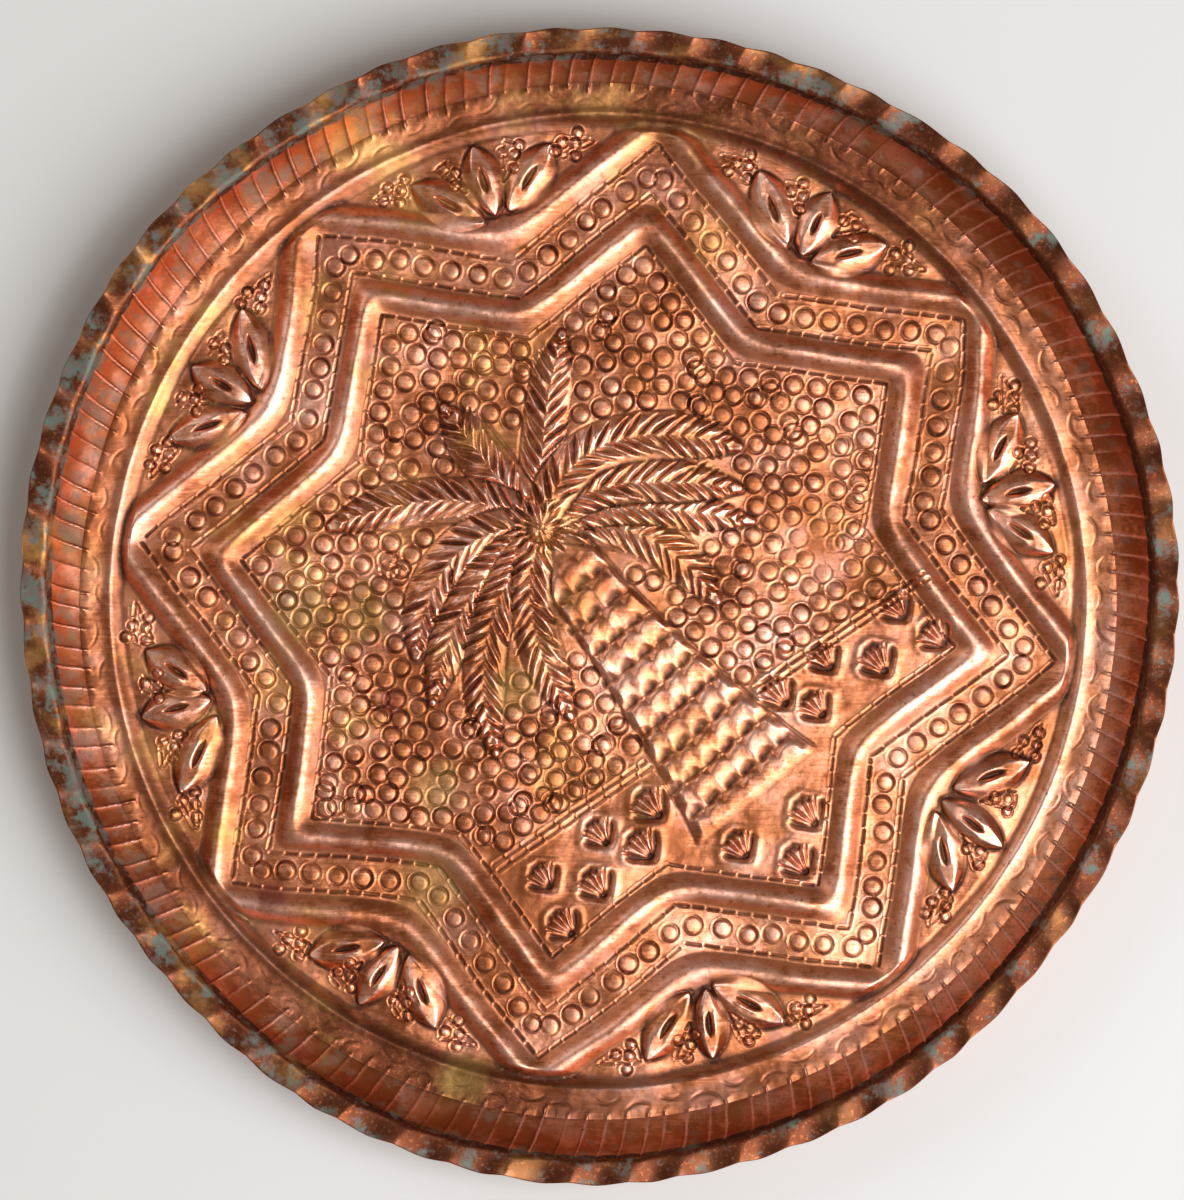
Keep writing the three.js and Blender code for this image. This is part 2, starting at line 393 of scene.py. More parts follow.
# %% [markdown]
# A frond is a feather: a raised blade along a curved rib, with a slanting gouge mark every five
# millimetres on both sides. A frond in front wipes out what it covers, so the back ones are
# worked first.

# %% Fronds
def frond(controls, half_width, rise=1.3, pitch=5.2):
    """A blade whose half width swells and then tapers to the tip, gouged on both sides."""
    path = bezier(sketch(*controls))
    part = window_of(path, half_width + 4)
    along, side, length = beside(path, part)

    def width_at(place):
        """A long arch of a sine, cut off flat at the top, over the blade's length."""
        t = np.clip(place / length, 0, 1)
        return half_width * np.clip(1.35 * np.sin(math.pi * (0.10 + 0.87 * t)), 0, 1) ** 0.7

    width = width_at(along)
    blade = rise * (1 - step_up(np.abs(side), 0.45 * width, width)) + 0.25
    board[part] = np.where(np.abs(side) < width, blade, board[part])
    board[part] -= 0.25 * np.exp(-(((np.abs(side) - width - 0.2) / 0.6) ** 2))
    room[part] = np.minimum(room[part], np.maximum(np.abs(side) - width, 0))
    for place in np.arange(6, length - 2, pitch):
        spot, heading = point_at(path, place + hand.normal(0, 0.3))
        for way in (-1, 1):
            slant = heading + way * math.radians(hand.uniform(31, 47))
            ahead = np.array([math.cos(slant), math.sin(slant)])
            reach = np.clip(1.15 * width_at(place + 5) / math.sin(math.radians(40)), 3.5, 12)
            gouge(spot, spot + reach * ahead, hand.uniform(1.7, 2.8), hand.uniform(0.7, 1.35))
    return length


CROWN = (-21, 26)
FRONDS = {
    "up": ([CROWN, (-22, 52), (-19, 74), (-13, 97)], 8.0),
    "up_left": ([CROWN, (-33, 40), (-44, 55), (-56, 70)], 9.0),
    "left": ([CROWN, (-42, 42), (-70, 38), (-97, 27)], 8.5),
    "down_left": ([CROWN, (-47, 28), (-62, 14), (-66, -20)], 9.0),
    "down_left_inner": ([CROWN, (-42, 12), (-54, -4), (-60, -37)], 7.5),
    "down": ([CROWN, (-38, 4), (-48, -22), (-37, -55)], 7.5),
    "down_inner": ([CROWN, (-27, 4), (-26, -14), (-10, -42)], 7.5),
    "down_right": ([CROWN, (10, 34), (28, 20), (43, 0)], 8.0),
    "right": ([CROWN, (0, 38), (28, 34), (56, 29)], 6.5),
    "right_upper": ([CROWN, (-8, 46), (20, 45), (51, 41)], 8.0),
    "up_right": ([CROWN, (-14, 60), (16, 66), (51, 56)], 9.0),
}

# %% [markdown]
# The trunk leans away under the crown, widens and flares out at its foot. Its bark is rows of
# scales: each row starts with a steep scalloped rise and then falls off slowly along the trunk,
# and every scale in a row ends in a half-moon bite.

# %% Trunk
TRUNK = bezier(sketch((-12, 14), (8, -12), (30, -38), (58, -71.5)), 60)
ROW = 11.4      # from one row of scales to the next
SCALE = 8.4     # width of one scale


def trunk_width(place, length):
    """Half the width: a smooth step from the crown to the foot, plus a flare at the very foot."""
    return 12.5 + 10.5 * step_up(place / length, 0.0, 1.0) + 5.5 * (place / length) ** 6


def bite(centre, heading):
    """A half-moon hollow that faces up the trunk, with a puff of copper before it."""
    def blow(u, v):
        """A disc cut off on the side of the foot, plus a parabola up the trunk from it."""
        off = np.hypot(u, v)
        hollow = -0.65 * (1 - step_up(off, 1.4, 3.9)) * (1 - step_up(u, 0.6, 2.2))
        puff = 0.2 * np.clip(1 - (np.hypot(u + 4.4, v * 0.8) / 3.6) ** 2, 0, 1)
        return hollow + puff
    strike(centre, heading, 9, blow)


def trunk():
    """Height = a body with soft sides, plus a wave for each row: a steep scalloped rise, a long fall."""
    part = window_of(TRUNK, 34)
    along, side, length = beside(TRUNK, part)
    width = trunk_width(along, length)
    shifted = side / SCALE + 0.3 * np.floor(along / ROW)
    phase = (along + 1.5 * np.abs(np.cos(math.pi * shifted))) / ROW
    saw = phase - np.floor(phase)
    wave = step_up(saw, 0.0, 0.3) * (1 - 0.95 * step_up(saw, 0.32, 1.0))
    foot = 1 - step_up(along, length - 3.5, length - 0.3)
    sides = (1 - step_up(np.abs(side), 0.84 * width, width)) * foot
    height = (0.5 + 1.0 * wave) * sides
    on_trunk = (np.abs(side) < width) & (along < length - 0.1)
    board[part] = np.where(on_trunk, height, board[part])
    beyond = np.where(along < length - 0.1, np.maximum(np.abs(side) - width, 0), 50)
    room[part] = np.minimum(room[part], beyond)
    board[part] -= 0.3 * np.exp(-(((np.abs(side) - width - 0.3) / 0.6) ** 2)) * foot
    for row in range(1, int(length / ROW) + 1):
        place = (row - 0.14) * ROW
        spot, heading = point_at(TRUNK, place)
        across = np.array([-math.sin(heading), math.cos(heading)])
        reach = trunk_width(place, length) - 2.2
        for off in np.arange(-reach + (row % 2) * 0.3 * SCALE, reach, SCALE):
            bite(spot + (off + hand.normal(0, 0.4)) * across, heading + hand.normal(0, 0.12))


trunk()
for name, (controls, half_width) in FRONDS.items():
    print(name, "frond,", round(frond(controls, half_width)), "mm long")

crown = sketch(CROWN)[0]
for turn in np.arange(0, 2 * math.pi, math.pi / 9) + hand.normal(0, 0.06, 18):
    ray = np.array([math.cos(turn), math.sin(turn)])
    gouge(crown + hand.uniform(0.5, 2.0) * ray, crown + hand.uniform(8, 14) * ray, 1.7, 1.2)

# %% [markdown]
# ## Ground and tufts
# A double traced line is the ground. Below it the chaser set fan-shaped tufts of grass, each in a
# squarish hollow with rays that spread from its lower corner.

# %% Ground line and tufts
GROUND = sketch((-44, -99.6), (118, 10.4))


def below_ground(x, y):
    """How far a spot is below the ground line."""
    run = GROUND[1] - GROUND[0]
    run = run / np.hypot(*run)
    return (x - GROUND[0][0]) * run[1] - (y - GROUND[0][1]) * run[0]


LINE_GAP = 1.9      # the ground is a double line

for shift in (0.0, LINE_GAP):
    t = np.linspace(0, 1, 30)[:, None]
    points = GROUND[0] + (GROUND[1] - GROUND[0]) * t + [shift, -shift]
    free = np.array([room[window(x, x, y, y)].min() > 1.0 for x, y in points])
    for run in np.split(points, np.nonzero(~free)[0]):
        if len(run) > 3:
            trace(run[1:], dash=6.5, gap=0.7, width=1.2, depth=0.5)

TUFTS = sketch(
    (107.9, -2.1), (122.1, -12.3), (101.1, -21.3), (81.8, -20.6), (78.6, -38), (64.8, -33.3),
    (72.4, -94.2), (51, -88.8), (75.7, -76.8), (0.3, -84.1), (15.8, -88.8), (-0.8, -102.5),
    (-20, -100), (-12.8, -117.4), (18.7, -73.9))


def tuft(centre, size=5.9):
    """A square hollow that stands on its root corner, holding a raised fan cut by five rays."""
    lean = math.radians(127) + hand.normal(0, 0.07)
    size = size * hand.uniform(0.92, 1.08)
    rays = np.linspace(-0.56, 0.56, 5) + hand.normal(0, 0.04, 5)

    def blow(u, v):
        """Square hollow, plus a fan-shaped pad, less a bell along each ray, plus a brim."""
        from_root = np.hypot(u + 1.05 * size, v)
        square = ((np.abs(u + v) ** 4 + np.abs(u - v) ** 4) / 4) ** 0.25
        off = np.maximum(square, from_root - 1.15 * size)
        hollow = -0.95 * (1 - step_up(off, size - 1.5, size + 0.5))
        turn = np.arctan2(v, u + 1.05 * size)
        fan = (1 - step_up(from_root, 1.55 * size, 2.0 * size)) * (1 - step_up(np.abs(turn), 0.5, 0.8))
        pad = 1.6 * fan * step_up(from_root, 0.1 * size, 0.8 * size)
        cuts = sum(np.exp(-((from_root * np.sin(turn - ray) / 0.42) ** 2)) for ray in rays)
        ahead = 1 - step_up(np.abs(turn), 0.9, 1.2)
        span = ahead * step_up(from_root, 0.3, 2.0) * (1 - step_up(from_root, 1.7 * size, 1.95 * size))
        brim = 0.3 * np.exp(-(((off - size - 1.1) / 1.3) ** 2))
        return hollow + pad - 0.85 * cuts * span + brim
    strike(centre, lean, 2.0 * size, blow)


for spot in TUFTS:
    tuft(spot)
print("tufts:", len(TUFTS))

# %% [markdown]
# ## Ring-punched sky
# The chaser filled the sky with rings, first along every outline and then inwards. The same
# rule places them here: of all spots that still have room, take the one nearest to an outline,
# punch it, and close the ground that it covers.

# %% Fill the sky
def fill_with_rings(allowed, spacing):
    """Takes the free spot with the least room and the nearest neighbour, until none is free."""
    coarse = slice(None, None, 3)
    x, y = X[coarse, coarse], Y[coarse, coarse]
    free = allowed[coarse, coarse].copy()
    rank = np.minimum(room[coarse, coarse], 14) + hand.uniform(0, 0.3, x.shape)
    neighbour = np.full_like(x, 24.0)
    placed = []
    while free.any():
        pick = np.argmin(np.where(free, rank + 0.8 * neighbour, 1e9))
        spot = np.array([x.flat[pick], y.flat[pick]])
        placed.append(spot)
        away = np.hypot(x - spot[0], y - spot[1])
        neighbour = np.minimum(neighbour, away)
        free &= away > spacing
    return placed


room = np.minimum(room, np.abs(sharp_level - FIELD_LINE + 1))
above = -below_ground(X, Y)
room = np.minimum(room, np.where(above > -1, np.abs(above), 50))
sky = (sharp_level < FIELD_LINE - 5) & (above > 5.2) & (room > RING + 0.2)
EASY, TIGHT = 7.9, 6.6      # ring spacing of the first round, and of the rings squeezed in after
rings = fill_with_rings(sky, EASY)
for spot in rings:
    sky &= np.hypot(X - spot[0], Y - spot[1]) > TIGHT
rings += fill_with_rings(sky, TIGHT)
for spot in rings:
    ring_punch(spot + hand.normal(0, 0.35, 2), size=RING * hand.uniform(0.95, 1.06))
    if hand.random() < 0.10:
        ring_punch(spot + hand.normal(0, 2.0, 2))
print("rings in the sky:", len(rings))

# %% [markdown]
# ## Leaf panels
# Between two tips of the star lies a panel with three pointed leaves that fan out from the
# notch, and four little bunches of berries between them. A leaf's edge is a sine curve, its
# face is domed, and a liner slit marks its middle.

# %% Leaves and berries
def leaf(base, tip, half_width, rise=2.4):
    """A soft mound on a pointed oval, with a traced edge and an open slit in the middle."""
    (x0, y0), (x1, y1) = base, tip
    length = math.hypot(x1 - x0, y1 - y0)
    angle = math.atan2(y1 - y0, x1 - x0)

    def blow(u, v):
        """A rounded dome, less its edge and slit, plus the lips that the slit raised."""
        t = np.clip(u / length + 0.5, 0, 1)
        width = half_width * np.sin(math.pi * t) ** 0.65 + 0.02
        off = np.hypot(v, np.maximum(np.abs(u) - length / 2, 0))
        dome = rise * (1 - step_up(off, 0.35 * width, 1.15 * width))
        edge = -0.18 * np.exp(-(((off - width - 0.8) / 0.8) ** 2))
        slit = np.clip(1 - (u / (0.19 * length)) ** 2, 0, 1)
        cut = -1.7 * slit**0.5 * np.exp(-((v / (1.05 * slit + 0.05)) ** 2))
        lips = 0.4 * slit * np.exp(-(((np.abs(v) - 1.9) / 0.7) ** 2))
        return dome + edge + cut + lips
    strike(((x0 + x1) / 2, (y0 + y1) / 2), angle, length / 2 + 3, blow)


def bunch(triangle, berries):
    """A traced triangle with a few small rings inside, set out on a spiral."""
    points = np.asarray(triangle)
    trace(np.vstack([points, points[:1]]), dash=5, gap=0.5, width=0.9, depth=0.4)
    middle = points.mean(0)
    for i in range(berries):
        turn = 2.4 * i + hand.uniform(0, 0.5)
        off = 2.9 * math.sqrt(i + 0.35)
        spot = middle + off * np.array([math.cos(turn), math.sin(turn)])
        ring_punch(spot, size=2.3, depth=0.5, width=0.38, dome=0.45)


def mound(centre, angle, size, rise):
    """A broad swelling of the whole panel, from the blows that drove it out from behind."""
    def blow(u, v):
        """A smooth fall from the middle to the edge of an oval."""
        return rise * (1 - step_up(np.hypot(u, v / 1.7), 0.2 * size, size))
    strike(centre, angle, 1.8 * size, blow)


APEX = OUTER_LINE / math.cos(math.pi / 8)      # how far out a notch of the outer ridge lies


def leaf_panel(notch):
    """Three leaves and four bunches, laid out along and across the notch's direction."""
    out = np.array([math.cos(notch), math.sin(notch)])
    left = np.array([-out[1], out[0]])

    def at(outward, sideways):
        """A place in the panel, measured from its notch, with the hand's small error."""
        shake = hand.normal(0, 0.7, 2)
        return (APEX + outward) * out + sideways * left + shake[0] * out + shake[1] * left

    mound((APEX + 14) * out, notch, 17, 1.5)
    leaf(at(2.5, 5.0), at(22, 27), 7.4 * hand.uniform(0.9, 1.1))
    leaf(at(2.5, 0), at(28.5, 3 * hand.uniform(-1, 1)), 7.2 * hand.uniform(0.9, 1.1))
    leaf(at(2.5, -5.0), at(22, -27), 7.4 * hand.uniform(0.9, 1.1))
    for side in (1, -1):
        bunch([at(17, side * 29), at(25, side * 28), at(20, side * 44)], hand.integers(4, 6))
        bunch([at(14, side * 7.5), at(27, side * 8.5), at(25, side * 17)], hand.integers(3, 5))


for index in range(8):
    leaf_panel(STAR_TURN + (index + 0.5) * math.pi / 4)
print("leaf panels: 8")

# %% [markdown]
# ## Step, cove and the hammer's trace
# Outside the floor the sheet steps up, rounds over a soft bead and runs on as a plain shelf
# to the foot of the wall. A garland of crescents is scratched on the shelf. Last comes the
# planishing hammer: broad shallow dents over everything, and a finer trace of the file.

# %% Rings of the border
step = COVE_RISE * step_up(radius, STEP_FOOT - 1, COVE_EDGE - 1)
bead = 0.35 * np.exp(-(((radius - COVE_EDGE + 1.5) / 2.2) ** 2))
shelf = (WALL_FOOT_RISE - COVE_RISE) * step_up(radius, COVE_EDGE, WALL_FOOT)
board += step + bead + shelf


def crescent(centre, angle, size, spread, depth):
    """A trench with a bell-shaped section along part of a circle, fading out at both ends."""
    def blow(u, v):
        """A bell of the distance to the circle, faded by a parabola of the angle."""
        off = np.hypot(u + size, v)
        turn = np.arctan2(v, u + size)
        fade = np.clip(1 - (turn / spread) ** 2, 0, 1)
        return -depth * fade * np.exp(-(((off - size) / 0.55) ** 2))
    strike(centre, angle, 2 * size, blow)


GARLAND = 88
garland_radius = (COVE_EDGE + WALL_FOOT) / 2 - 0.8
for index in range(GARLAND):
    turn = 2 * math.pi * index / GARLAND + hand.normal(0, 0.008)
    centre = garland_radius * np.array([math.cos(turn), math.sin(turn)])
    strength = 0.14 + 0.34 * step_up(math.cos(turn + 0.35), -0.2, 0.8)
    tilt = turn + (math.pi if index % 2 else 0) + hand.normal(0, 0.25)
    crescent(centre, tilt, hand.uniform(5.5, 8), hand.uniform(0.7, 1.0), strength)

FLUTES = 160
PLEAT_START = WALL_FOOT - 3.5      # the pleats begin on the shelf, just inside the wall's foot
flute_shake = np.random.default_rng(7).normal(0, 1, (4, FLUTES))


def pleats(turn, climbed):
    """Height of the wall's creases; climbed is the way up the sheet from the pleats' start."""
    phase = turn / (2 * math.pi) * FLUTES + 0.022 * climbed + 0.25 * np.sin(2 * turn)
    flute = np.floor(phase).astype(int) % FLUTES
    middle = 0.5 + 0.09 * flute_shake[0, flute]
    off = (phase - np.floor(phase) - middle) * 2 * math.pi * WALL_FOOT / FLUTES
    start = 1.6 + 0.9 * flute_shake[1, flute]
    strength = np.clip(1 + 0.3 * flute_shake[2, flute], 0.3, 1.6)
    fade = step_up(climbed, start - 1.2, start + 1.2)
    crease = 0.75 * strength * fade * np.exp(-((off / 0.42) ** 2))
    hollow = -0.26 * step_up(climbed, start - 1, start + 7) * (1 - np.exp(-((off / 1.9) ** 2)))
    pucker = 0.14 * strength * np.exp(-(((climbed - start) / 1.3) ** 2) - ((off - 1.0) / 1.2) ** 2)
    return crease + hollow + pucker


outer = radius > PLEAT_START - 2
around_tray = np.arctan2(Y, X) % (2 * math.pi)
board[outer] += pleats(around_tray[outer], radius[outer] - PLEAT_START)

broad = 0.5 * unevenness(24) + 0.40 * unevenness(11) + 0.5
board += broad * on_floor + 0.11 * unevenness(6) + 0.05 * unevenness(2.4)
off_field = step_up(level, FIELD_LINE, FIELD_LINE + 4)
board += 0.02 * unevenness(0.8) + 0.12 * unevenness(4.5) * off_field
LOWEST = 0.45 - FLOOR      # the deepest mark stops short of piercing the sheet
EASE = 0.4                 # a mark starts to slow down this far above it
eased = LOWEST + EASE * np.exp((board - LOWEST - EASE) / EASE)
board = np.where(board < LOWEST + EASE, eased, board)
print("board heights", round(board.min(), 2), "to", round(board.max(), 2), "mm")

# %% [markdown]
# ## From the board to pieces
# Each zone of the sheet becomes a closed piece of copper. Its face is a net of points laid
# out in plan and lifted to the board's height; its back is a coarser net under a smoothed
# board, because a sheet one millimetre thick shows its marks in reverse and softer. The
# slope of the board gives the normals, so that two zones shade as one sheet across their seam.

# %% Read the board between its cells
HAIR = 0.05          # the gap between two zones of the sheet
THINNEST = 0.2       # at least this much copper stays under a mark
slope_y, slope_x = np.gradient(board, PITCH)
soft_board = soften(board, 1.6)
relief = board - soft_board
back_board = soft_board - SHEET
reach_cells = int(1.2 / PITCH)      # the back also keeps clear of marks this near
for shift_y in (-reach_cells, 0, reach_cells):
    for shift_x in (-reach_cells, 0, reach_cells):
        back_board = np.minimum(back_board, np.roll(board, (shift_y, shift_x), (0, 1)) - THINNEST)
back_board = np.maximum(back_board, 0.1 - FLOOR)


def sample(field, x, y):
    """The field at any spot: its four nearest cells weighted by nearness."""
    u = np.clip((x + REACH) / PITCH, 0, len(ticks) - 1.001)
    v = np.clip((y + REACH) / PITCH, 0, len(ticks) - 1.001)
    i, j = u.astype(int), v.astype(int)
    fu, fv = u - i, v - j
    low = field[j, i] * (1 - fu) + field[j, i + 1] * fu
    high = field[j + 1, i] * (1 - fu) + field[j + 1, i + 1] * fu
    return low * (1 - fv) + high * fv


def lay_on_board(plan):
    """Face points, their normals and their relief for a net of plan points."""
    x, y = plan[..., 0], plan[..., 1]
    x, y = x - sample(drift_x, x, y), y - sample(drift_y, x, y)
    face = np.stack([x, y, FLOOR + sample(board, x, y)], -1)
    normal = np.stack([-sample(slope_x, x, y), -sample(slope_y, x, y), np.ones_like(x)], -1)
    normal /= np.linalg.norm(normal, axis=-1, keepdims=True)
    return face, normal, sample(relief, x, y)


def under_board(plan):
    """Back points of the same net, one sheet below the smoothed board, and their normals."""
    x, y = plan[..., 0], plan[..., 1]
    x, y = x - sample(drift_x, x, y), y - sample(drift_y, x, y)
    height = FLOOR + sample(back_board, x, y)
    down = np.zeros(x.shape + (3,))
    down[..., 2] = -1
    return np.stack([x, y, height], -1), down, np.zeros_like(x)


# %% [markdown]
# A ring-shaped zone is a grid that closes on itself both ways: once round the tray, and once
# round the section of the sheet, over the face and back under it. A patch has four borders, so
# a hem of small faces joins its fine face to its coarse back.

# %% Make meshes
def finish_piece(name, node, points, normals, crest_and_shade, faces):
    """A mesh object in metres, with its normals, its relief (with the painted lip shadow on wall and
    rim) and its place in the frame.
    """
    mesh = bpy.data.meshes.new(name)
    mesh.from_pydata((points * MM).tolist(), [], faces)
    mesh.update()
    mesh.shade_smooth()
    mesh.normals_split_custom_set_from_vertices(normals.tolist())
    attribute = mesh.attributes.new("crest_and_shade", "FLOAT", "POINT")
    attribute.data.foreach_set("value", crest_and_shade.astype(np.float32))
    piece = bpy.data.objects.new(name, mesh)
    bpy.context.collection.objects.link(piece)
    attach(piece, "root")
    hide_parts(node)
    triangles = sum(len(face) - 2 for face in faces)
    print(f"{name}: {triangles} triangles")
    return piece


def flat(*grids):
    """The rows of one or more nets in one list."""
    return np.concatenate([grid.reshape(-1, *grid.shape[2:]) for grid in grids])


def ring_piece(name, node, face, back):
    """Joins a face net and a back net, both running round the tray, into a closed ring."""
    loops = [np.concatenate([f, b[:, ::-1]], axis=1) for f, b in zip(face, back)]
    points, normals, crest_and_shade = loops
    columns, rows = points.shape[:2]
    ids = np.arange(columns * rows).reshape(columns, rows)
    ahead = np.roll(ids, -1, axis=0)
    quads = np.stack([ids, np.roll(ids, -1, axis=1), np.roll(ahead, -1, axis=1), ahead], -1)
    faces = quads.reshape(-1, 4).tolist()
    return finish_piece(name, node, flat(points), flat(normals), flat(crest_and_shade), faces)


def patch_faces(face_ids, back_ids):
    """Quads over the face and the back, and a hem of triangles and quads between them."""
    def quads(ids):
        """The four corners of every cell of a net."""
        grid = np.stack([ids[:-1, :-1], ids[1:, :-1], ids[1:, 1:], ids[:-1, 1:]], -1)
        return grid.reshape(-1, 4)

    def border(ids):
        """The points round a net's edge, in order."""
        sides = [ids[:-1, 0], ids[-1, :-1], ids[:0:-1, -1], ids[0, :0:-1]]
        return np.concatenate(sides)
    fine, coarse = border(face_ids), border(back_ids)
    fine_next, coarse_next = np.roll(fine, -1), np.roll(coarse, -1)
    triangles = np.stack([fine[0::2], coarse, fine[1::2]], -1)
    hems = np.stack([fine[1::2], coarse, coarse_next, fine_next[1::2]], -1)
    parts = [quads(face_ids), quads(back_ids)[:, ::-1], triangles, hems]
    return [row for part in parts for row in part.tolist()]


def patch_piece(name, node, plans):
    """One closed patch for each plan net of 2a+1 by 2b+1 points, joined into one object."""
    points, normals, crest_and_shade, faces = [], [], [], []
    count = 0
    for plan in plans:
        face, back = lay_on_board(plan), under_board(plan[::2, ::2])
        face_ids = count + np.arange(face[2].size).reshape(face[2].shape)
        back_ids = face_ids.max() + 1 + np.arange(back[2].size).reshape(back[2].shape)
        faces += patch_faces(face_ids, back_ids)
        count = back_ids.max() + 1
        points += [flat(face[0]), flat(back[0])]
        normals += [flat(face[1]), flat(back[1])]
        crest_and_shade += [flat(face[2]), flat(back[2])]
    join = np.concatenate
    return finish_piece(name, node, join(points), join(normals), join(crest_and_shade), faces)


# %% [markdown]
# ## The palm field in eight kites
# The field is cut from the middle to every notch, so that no mesh has a pole. Each kite has
# the middle, a notch, a tip and the next notch as corners. Two kites make one object.

# %% Palm panel
def kite(tip_turn, at_level, steps):
    """A net over middle, notch, tip and notch: the two edges' mixes, weighted by position."""
    notch = at_level / math.cos(math.pi / 8)
    tip = at_level * math.sqrt(2)

    def spot(reach, turn):
        """A point told by its distance from the middle and its direction."""
        return reach * np.array([math.cos(turn), math.sin(turn)])
    right = spot(notch, tip_turn - math.pi / 8)
    left = spot(notch, tip_turn + math.pi / 8)
    far = spot(tip, tip_turn)
    u = np.linspace(0, 1, steps)[:, None, None]
    v = np.linspace(0, 1, steps)[None, :, None]
    net = u * (1 - v) * right + (1 - u) * v * left + u * v * far
    middle = (right + left) / 2
    shrink = 1 - HAIR / np.hypot(*middle)
    return middle + (net - middle) * shrink


KITE_STEPS = 181
half = HAIR / 2
palm_pieces = []
for quarter in range(4):
    tip_turns = [STAR_TURN + math.pi / 4 * (2 * quarter + pair) for pair in (0, 1)]
    kites = [kite(turn, FIELD_LINE - half, KITE_STEPS) for turn in tip_turns]
    palm_pieces.append(patch_piece(f"palm_field_{quarter + 1}", "palm_panel", kites))

# %% [markdown]
# ## Star ridges, ring band, step and shelf
# A star at any level is the star at level one, scaled. So a ring zone is a row of points along
# the star's outline times a row of levels. Where a tip would run past the step, it is cut short.

# %% Rings of the floor
def star_outline(per_side):
    """Even points along the sixteen sides of the star at level one."""
    spots = star_corners(1.0)
    t = (np.arange(per_side) / per_side)[:, None]
    return np.concatenate([a + (b - a) * t for a, b in zip(spots[:-1], spots[1:])])


def star_net(low, high, per_side, rows, limit=1e9):
    """Outline points times levels, with no point further out than the limit."""
    outline = star_outline(per_side)
    last = np.minimum(high, limit / np.hypot(outline[:, 0], outline[:, 1]))
    t = np.linspace(0, 1, rows)[None, :]
    levels = low + (last[:, None] - low) * t
    return outline[:, None, :] * levels[..., None]


def round_net(low, high, columns, rows):
    """Points on circles between two radii."""
    turn = (np.arange(columns) / columns * 2 * math.pi)[:, None]
    reach = np.linspace(low, high, rows)[None, :]
    return np.stack([reach * np.cos(turn), reach * np.sin(turn)], -1)


def floor_ring(name, node, net, low, high, columns, rows, *limit):
    """A ring piece between two lines, with a face of many rows and a back of few."""
    plans = [net(low + half, high - half, columns, count, *limit) for count in rows]
    return ring_piece(name, node, lay_on_board(plans[0]), under_board(plans[1]))


inner_ridge = floor_ring("hammered_inner_ridge", "inner_star_ridge",
                         star_net, FIELD_LINE, INNER_LINE, 118, (28, 8))
ring_band = floor_ring("punched_ring_band", "ring_punched_band",
                       star_net, INNER_LINE, BAND_LINE, 150, (31, 5))
outer_ridge = floor_ring("hammered_outer_ridge", "outer_star_ridge",
                         star_net, BAND_LINE, OUTER_LINE, 144, (28, 8), STEP_FOOT - half)
step_ring = floor_ring("burnished_step", "floor_step",
                       round_net, STEP_FOOT, COVE_EDGE, 2200, (14, 5))
cove_ring = floor_ring("scribed_cove", "cove",
                       round_net, COVE_EDGE, WALL_FOOT, 2300, (21, 4))

# %% [markdown]
# A leaf panel has the notch, two straight sides and an arc. Its net blends the two straight
# sides with the two halves of the arc, which is Coons' way to fill four borders.

# %% Leaf panels
def leaf_net(notch_turn, steps):
    """Coons' patch: the sum of both pairs of opposite borders, less the corners' bilinear mix."""
    outline_level = OUTER_LINE + half
    limit = STEP_FOOT - half
    notch = outline_level / math.cos(math.pi / 8)

    # A side leaves the notch square to a direction 22.5 degrees away, and runs to the limit.
    side_run = math.sqrt(limit**2 - outline_level**2) - outline_level * math.tan(math.pi / 8)
    t = np.linspace(0, 1, steps)[:, None]

    def turned(points):
        """Points turned round the middle to face the notch."""
        c, s = math.cos(notch_turn), math.sin(notch_turn)
        return np.stack([points[..., 0] * c - points[..., 1] * s,
                         points[..., 0] * s + points[..., 1] * c], -1)
    way = math.radians(67.5)
    right_side = [notch, 0] + side_run * t * [math.cos(way), -math.sin(way)]
    left_side = right_side * [1, -1]
    end_turn = math.atan2(left_side[-1, 1], left_side[-1, 0])

    def arc(start, stop):
        """Even points on the limit's circle."""
        turn = start + (stop - start) * t
        return limit * np.concatenate([np.cos(turn), np.sin(turn)], 1)
    from_right, from_left = arc(-end_turn, 0), arc(end_turn, 0)
    u, v = t[:, None, :], t[None, :, :]
    straight = (1 - v) * right_side[:, None] + v * from_left[:, None]
    curved = (1 - u) * left_side[None] + u * from_right[None]
    mix = ((1 - u) * (1 - v) * right_side[0] + u * (1 - v) * right_side[-1]
           + (1 - u) * v * left_side[-1] + u * v * from_left[-1])
    return turned(straight + curved - mix)


LEAF_STEPS = 113
leaf_pieces = []
for index in range(8):
    net = leaf_net(STAR_TURN + (index + 0.5) * math.pi / 4, LEAF_STEPS)
    leaf_pieces.append(patch_piece(f"chased_leaf_panel_{index + 1}", f"leaf_panel_{index + 1}", [net]))

# %% [markdown]
# ## Fluted wall
# The wall was raised from the flat sheet, and the spare copper was gathered into 160 creases.
# Each crease is a narrow pleat that starts in a small pucker just inside the wall's foot, leans
# a little to one side and runs up under the lip. Between two creases the wall is slightly hollow.

# %% Wall
WALL_COLUMNS = 16        # points across one flute
WALL_ROWS = 28
RIM_LOBE = 1.8           # the rim came out a little three-cornered, by this much either way
RIM_LOBE_TURN = math.radians(27)


def out_of_round(turn):
    """Three lobes round the tray, plus the slow waves that the hand left, in millimetres."""
    slow = 0.3 * np.sin(7 * turn + 2.1) + 0.25 * np.sin(11 * turn)
    return RIM_LOBE * np.cos(3 * (turn - RIM_LOBE_TURN)) + slow


def normals_of(points):
    """The cross product of the two directions of a net that closes round the tray."""
    along = np.roll(points, -1, axis=0) - np.roll(points, 1, axis=0)
    across = np.gradient(points, axis=1)
    normal = np.cross(across, along)
    return normal / np.linalg.norm(normal, axis=-1, keepdims=True)


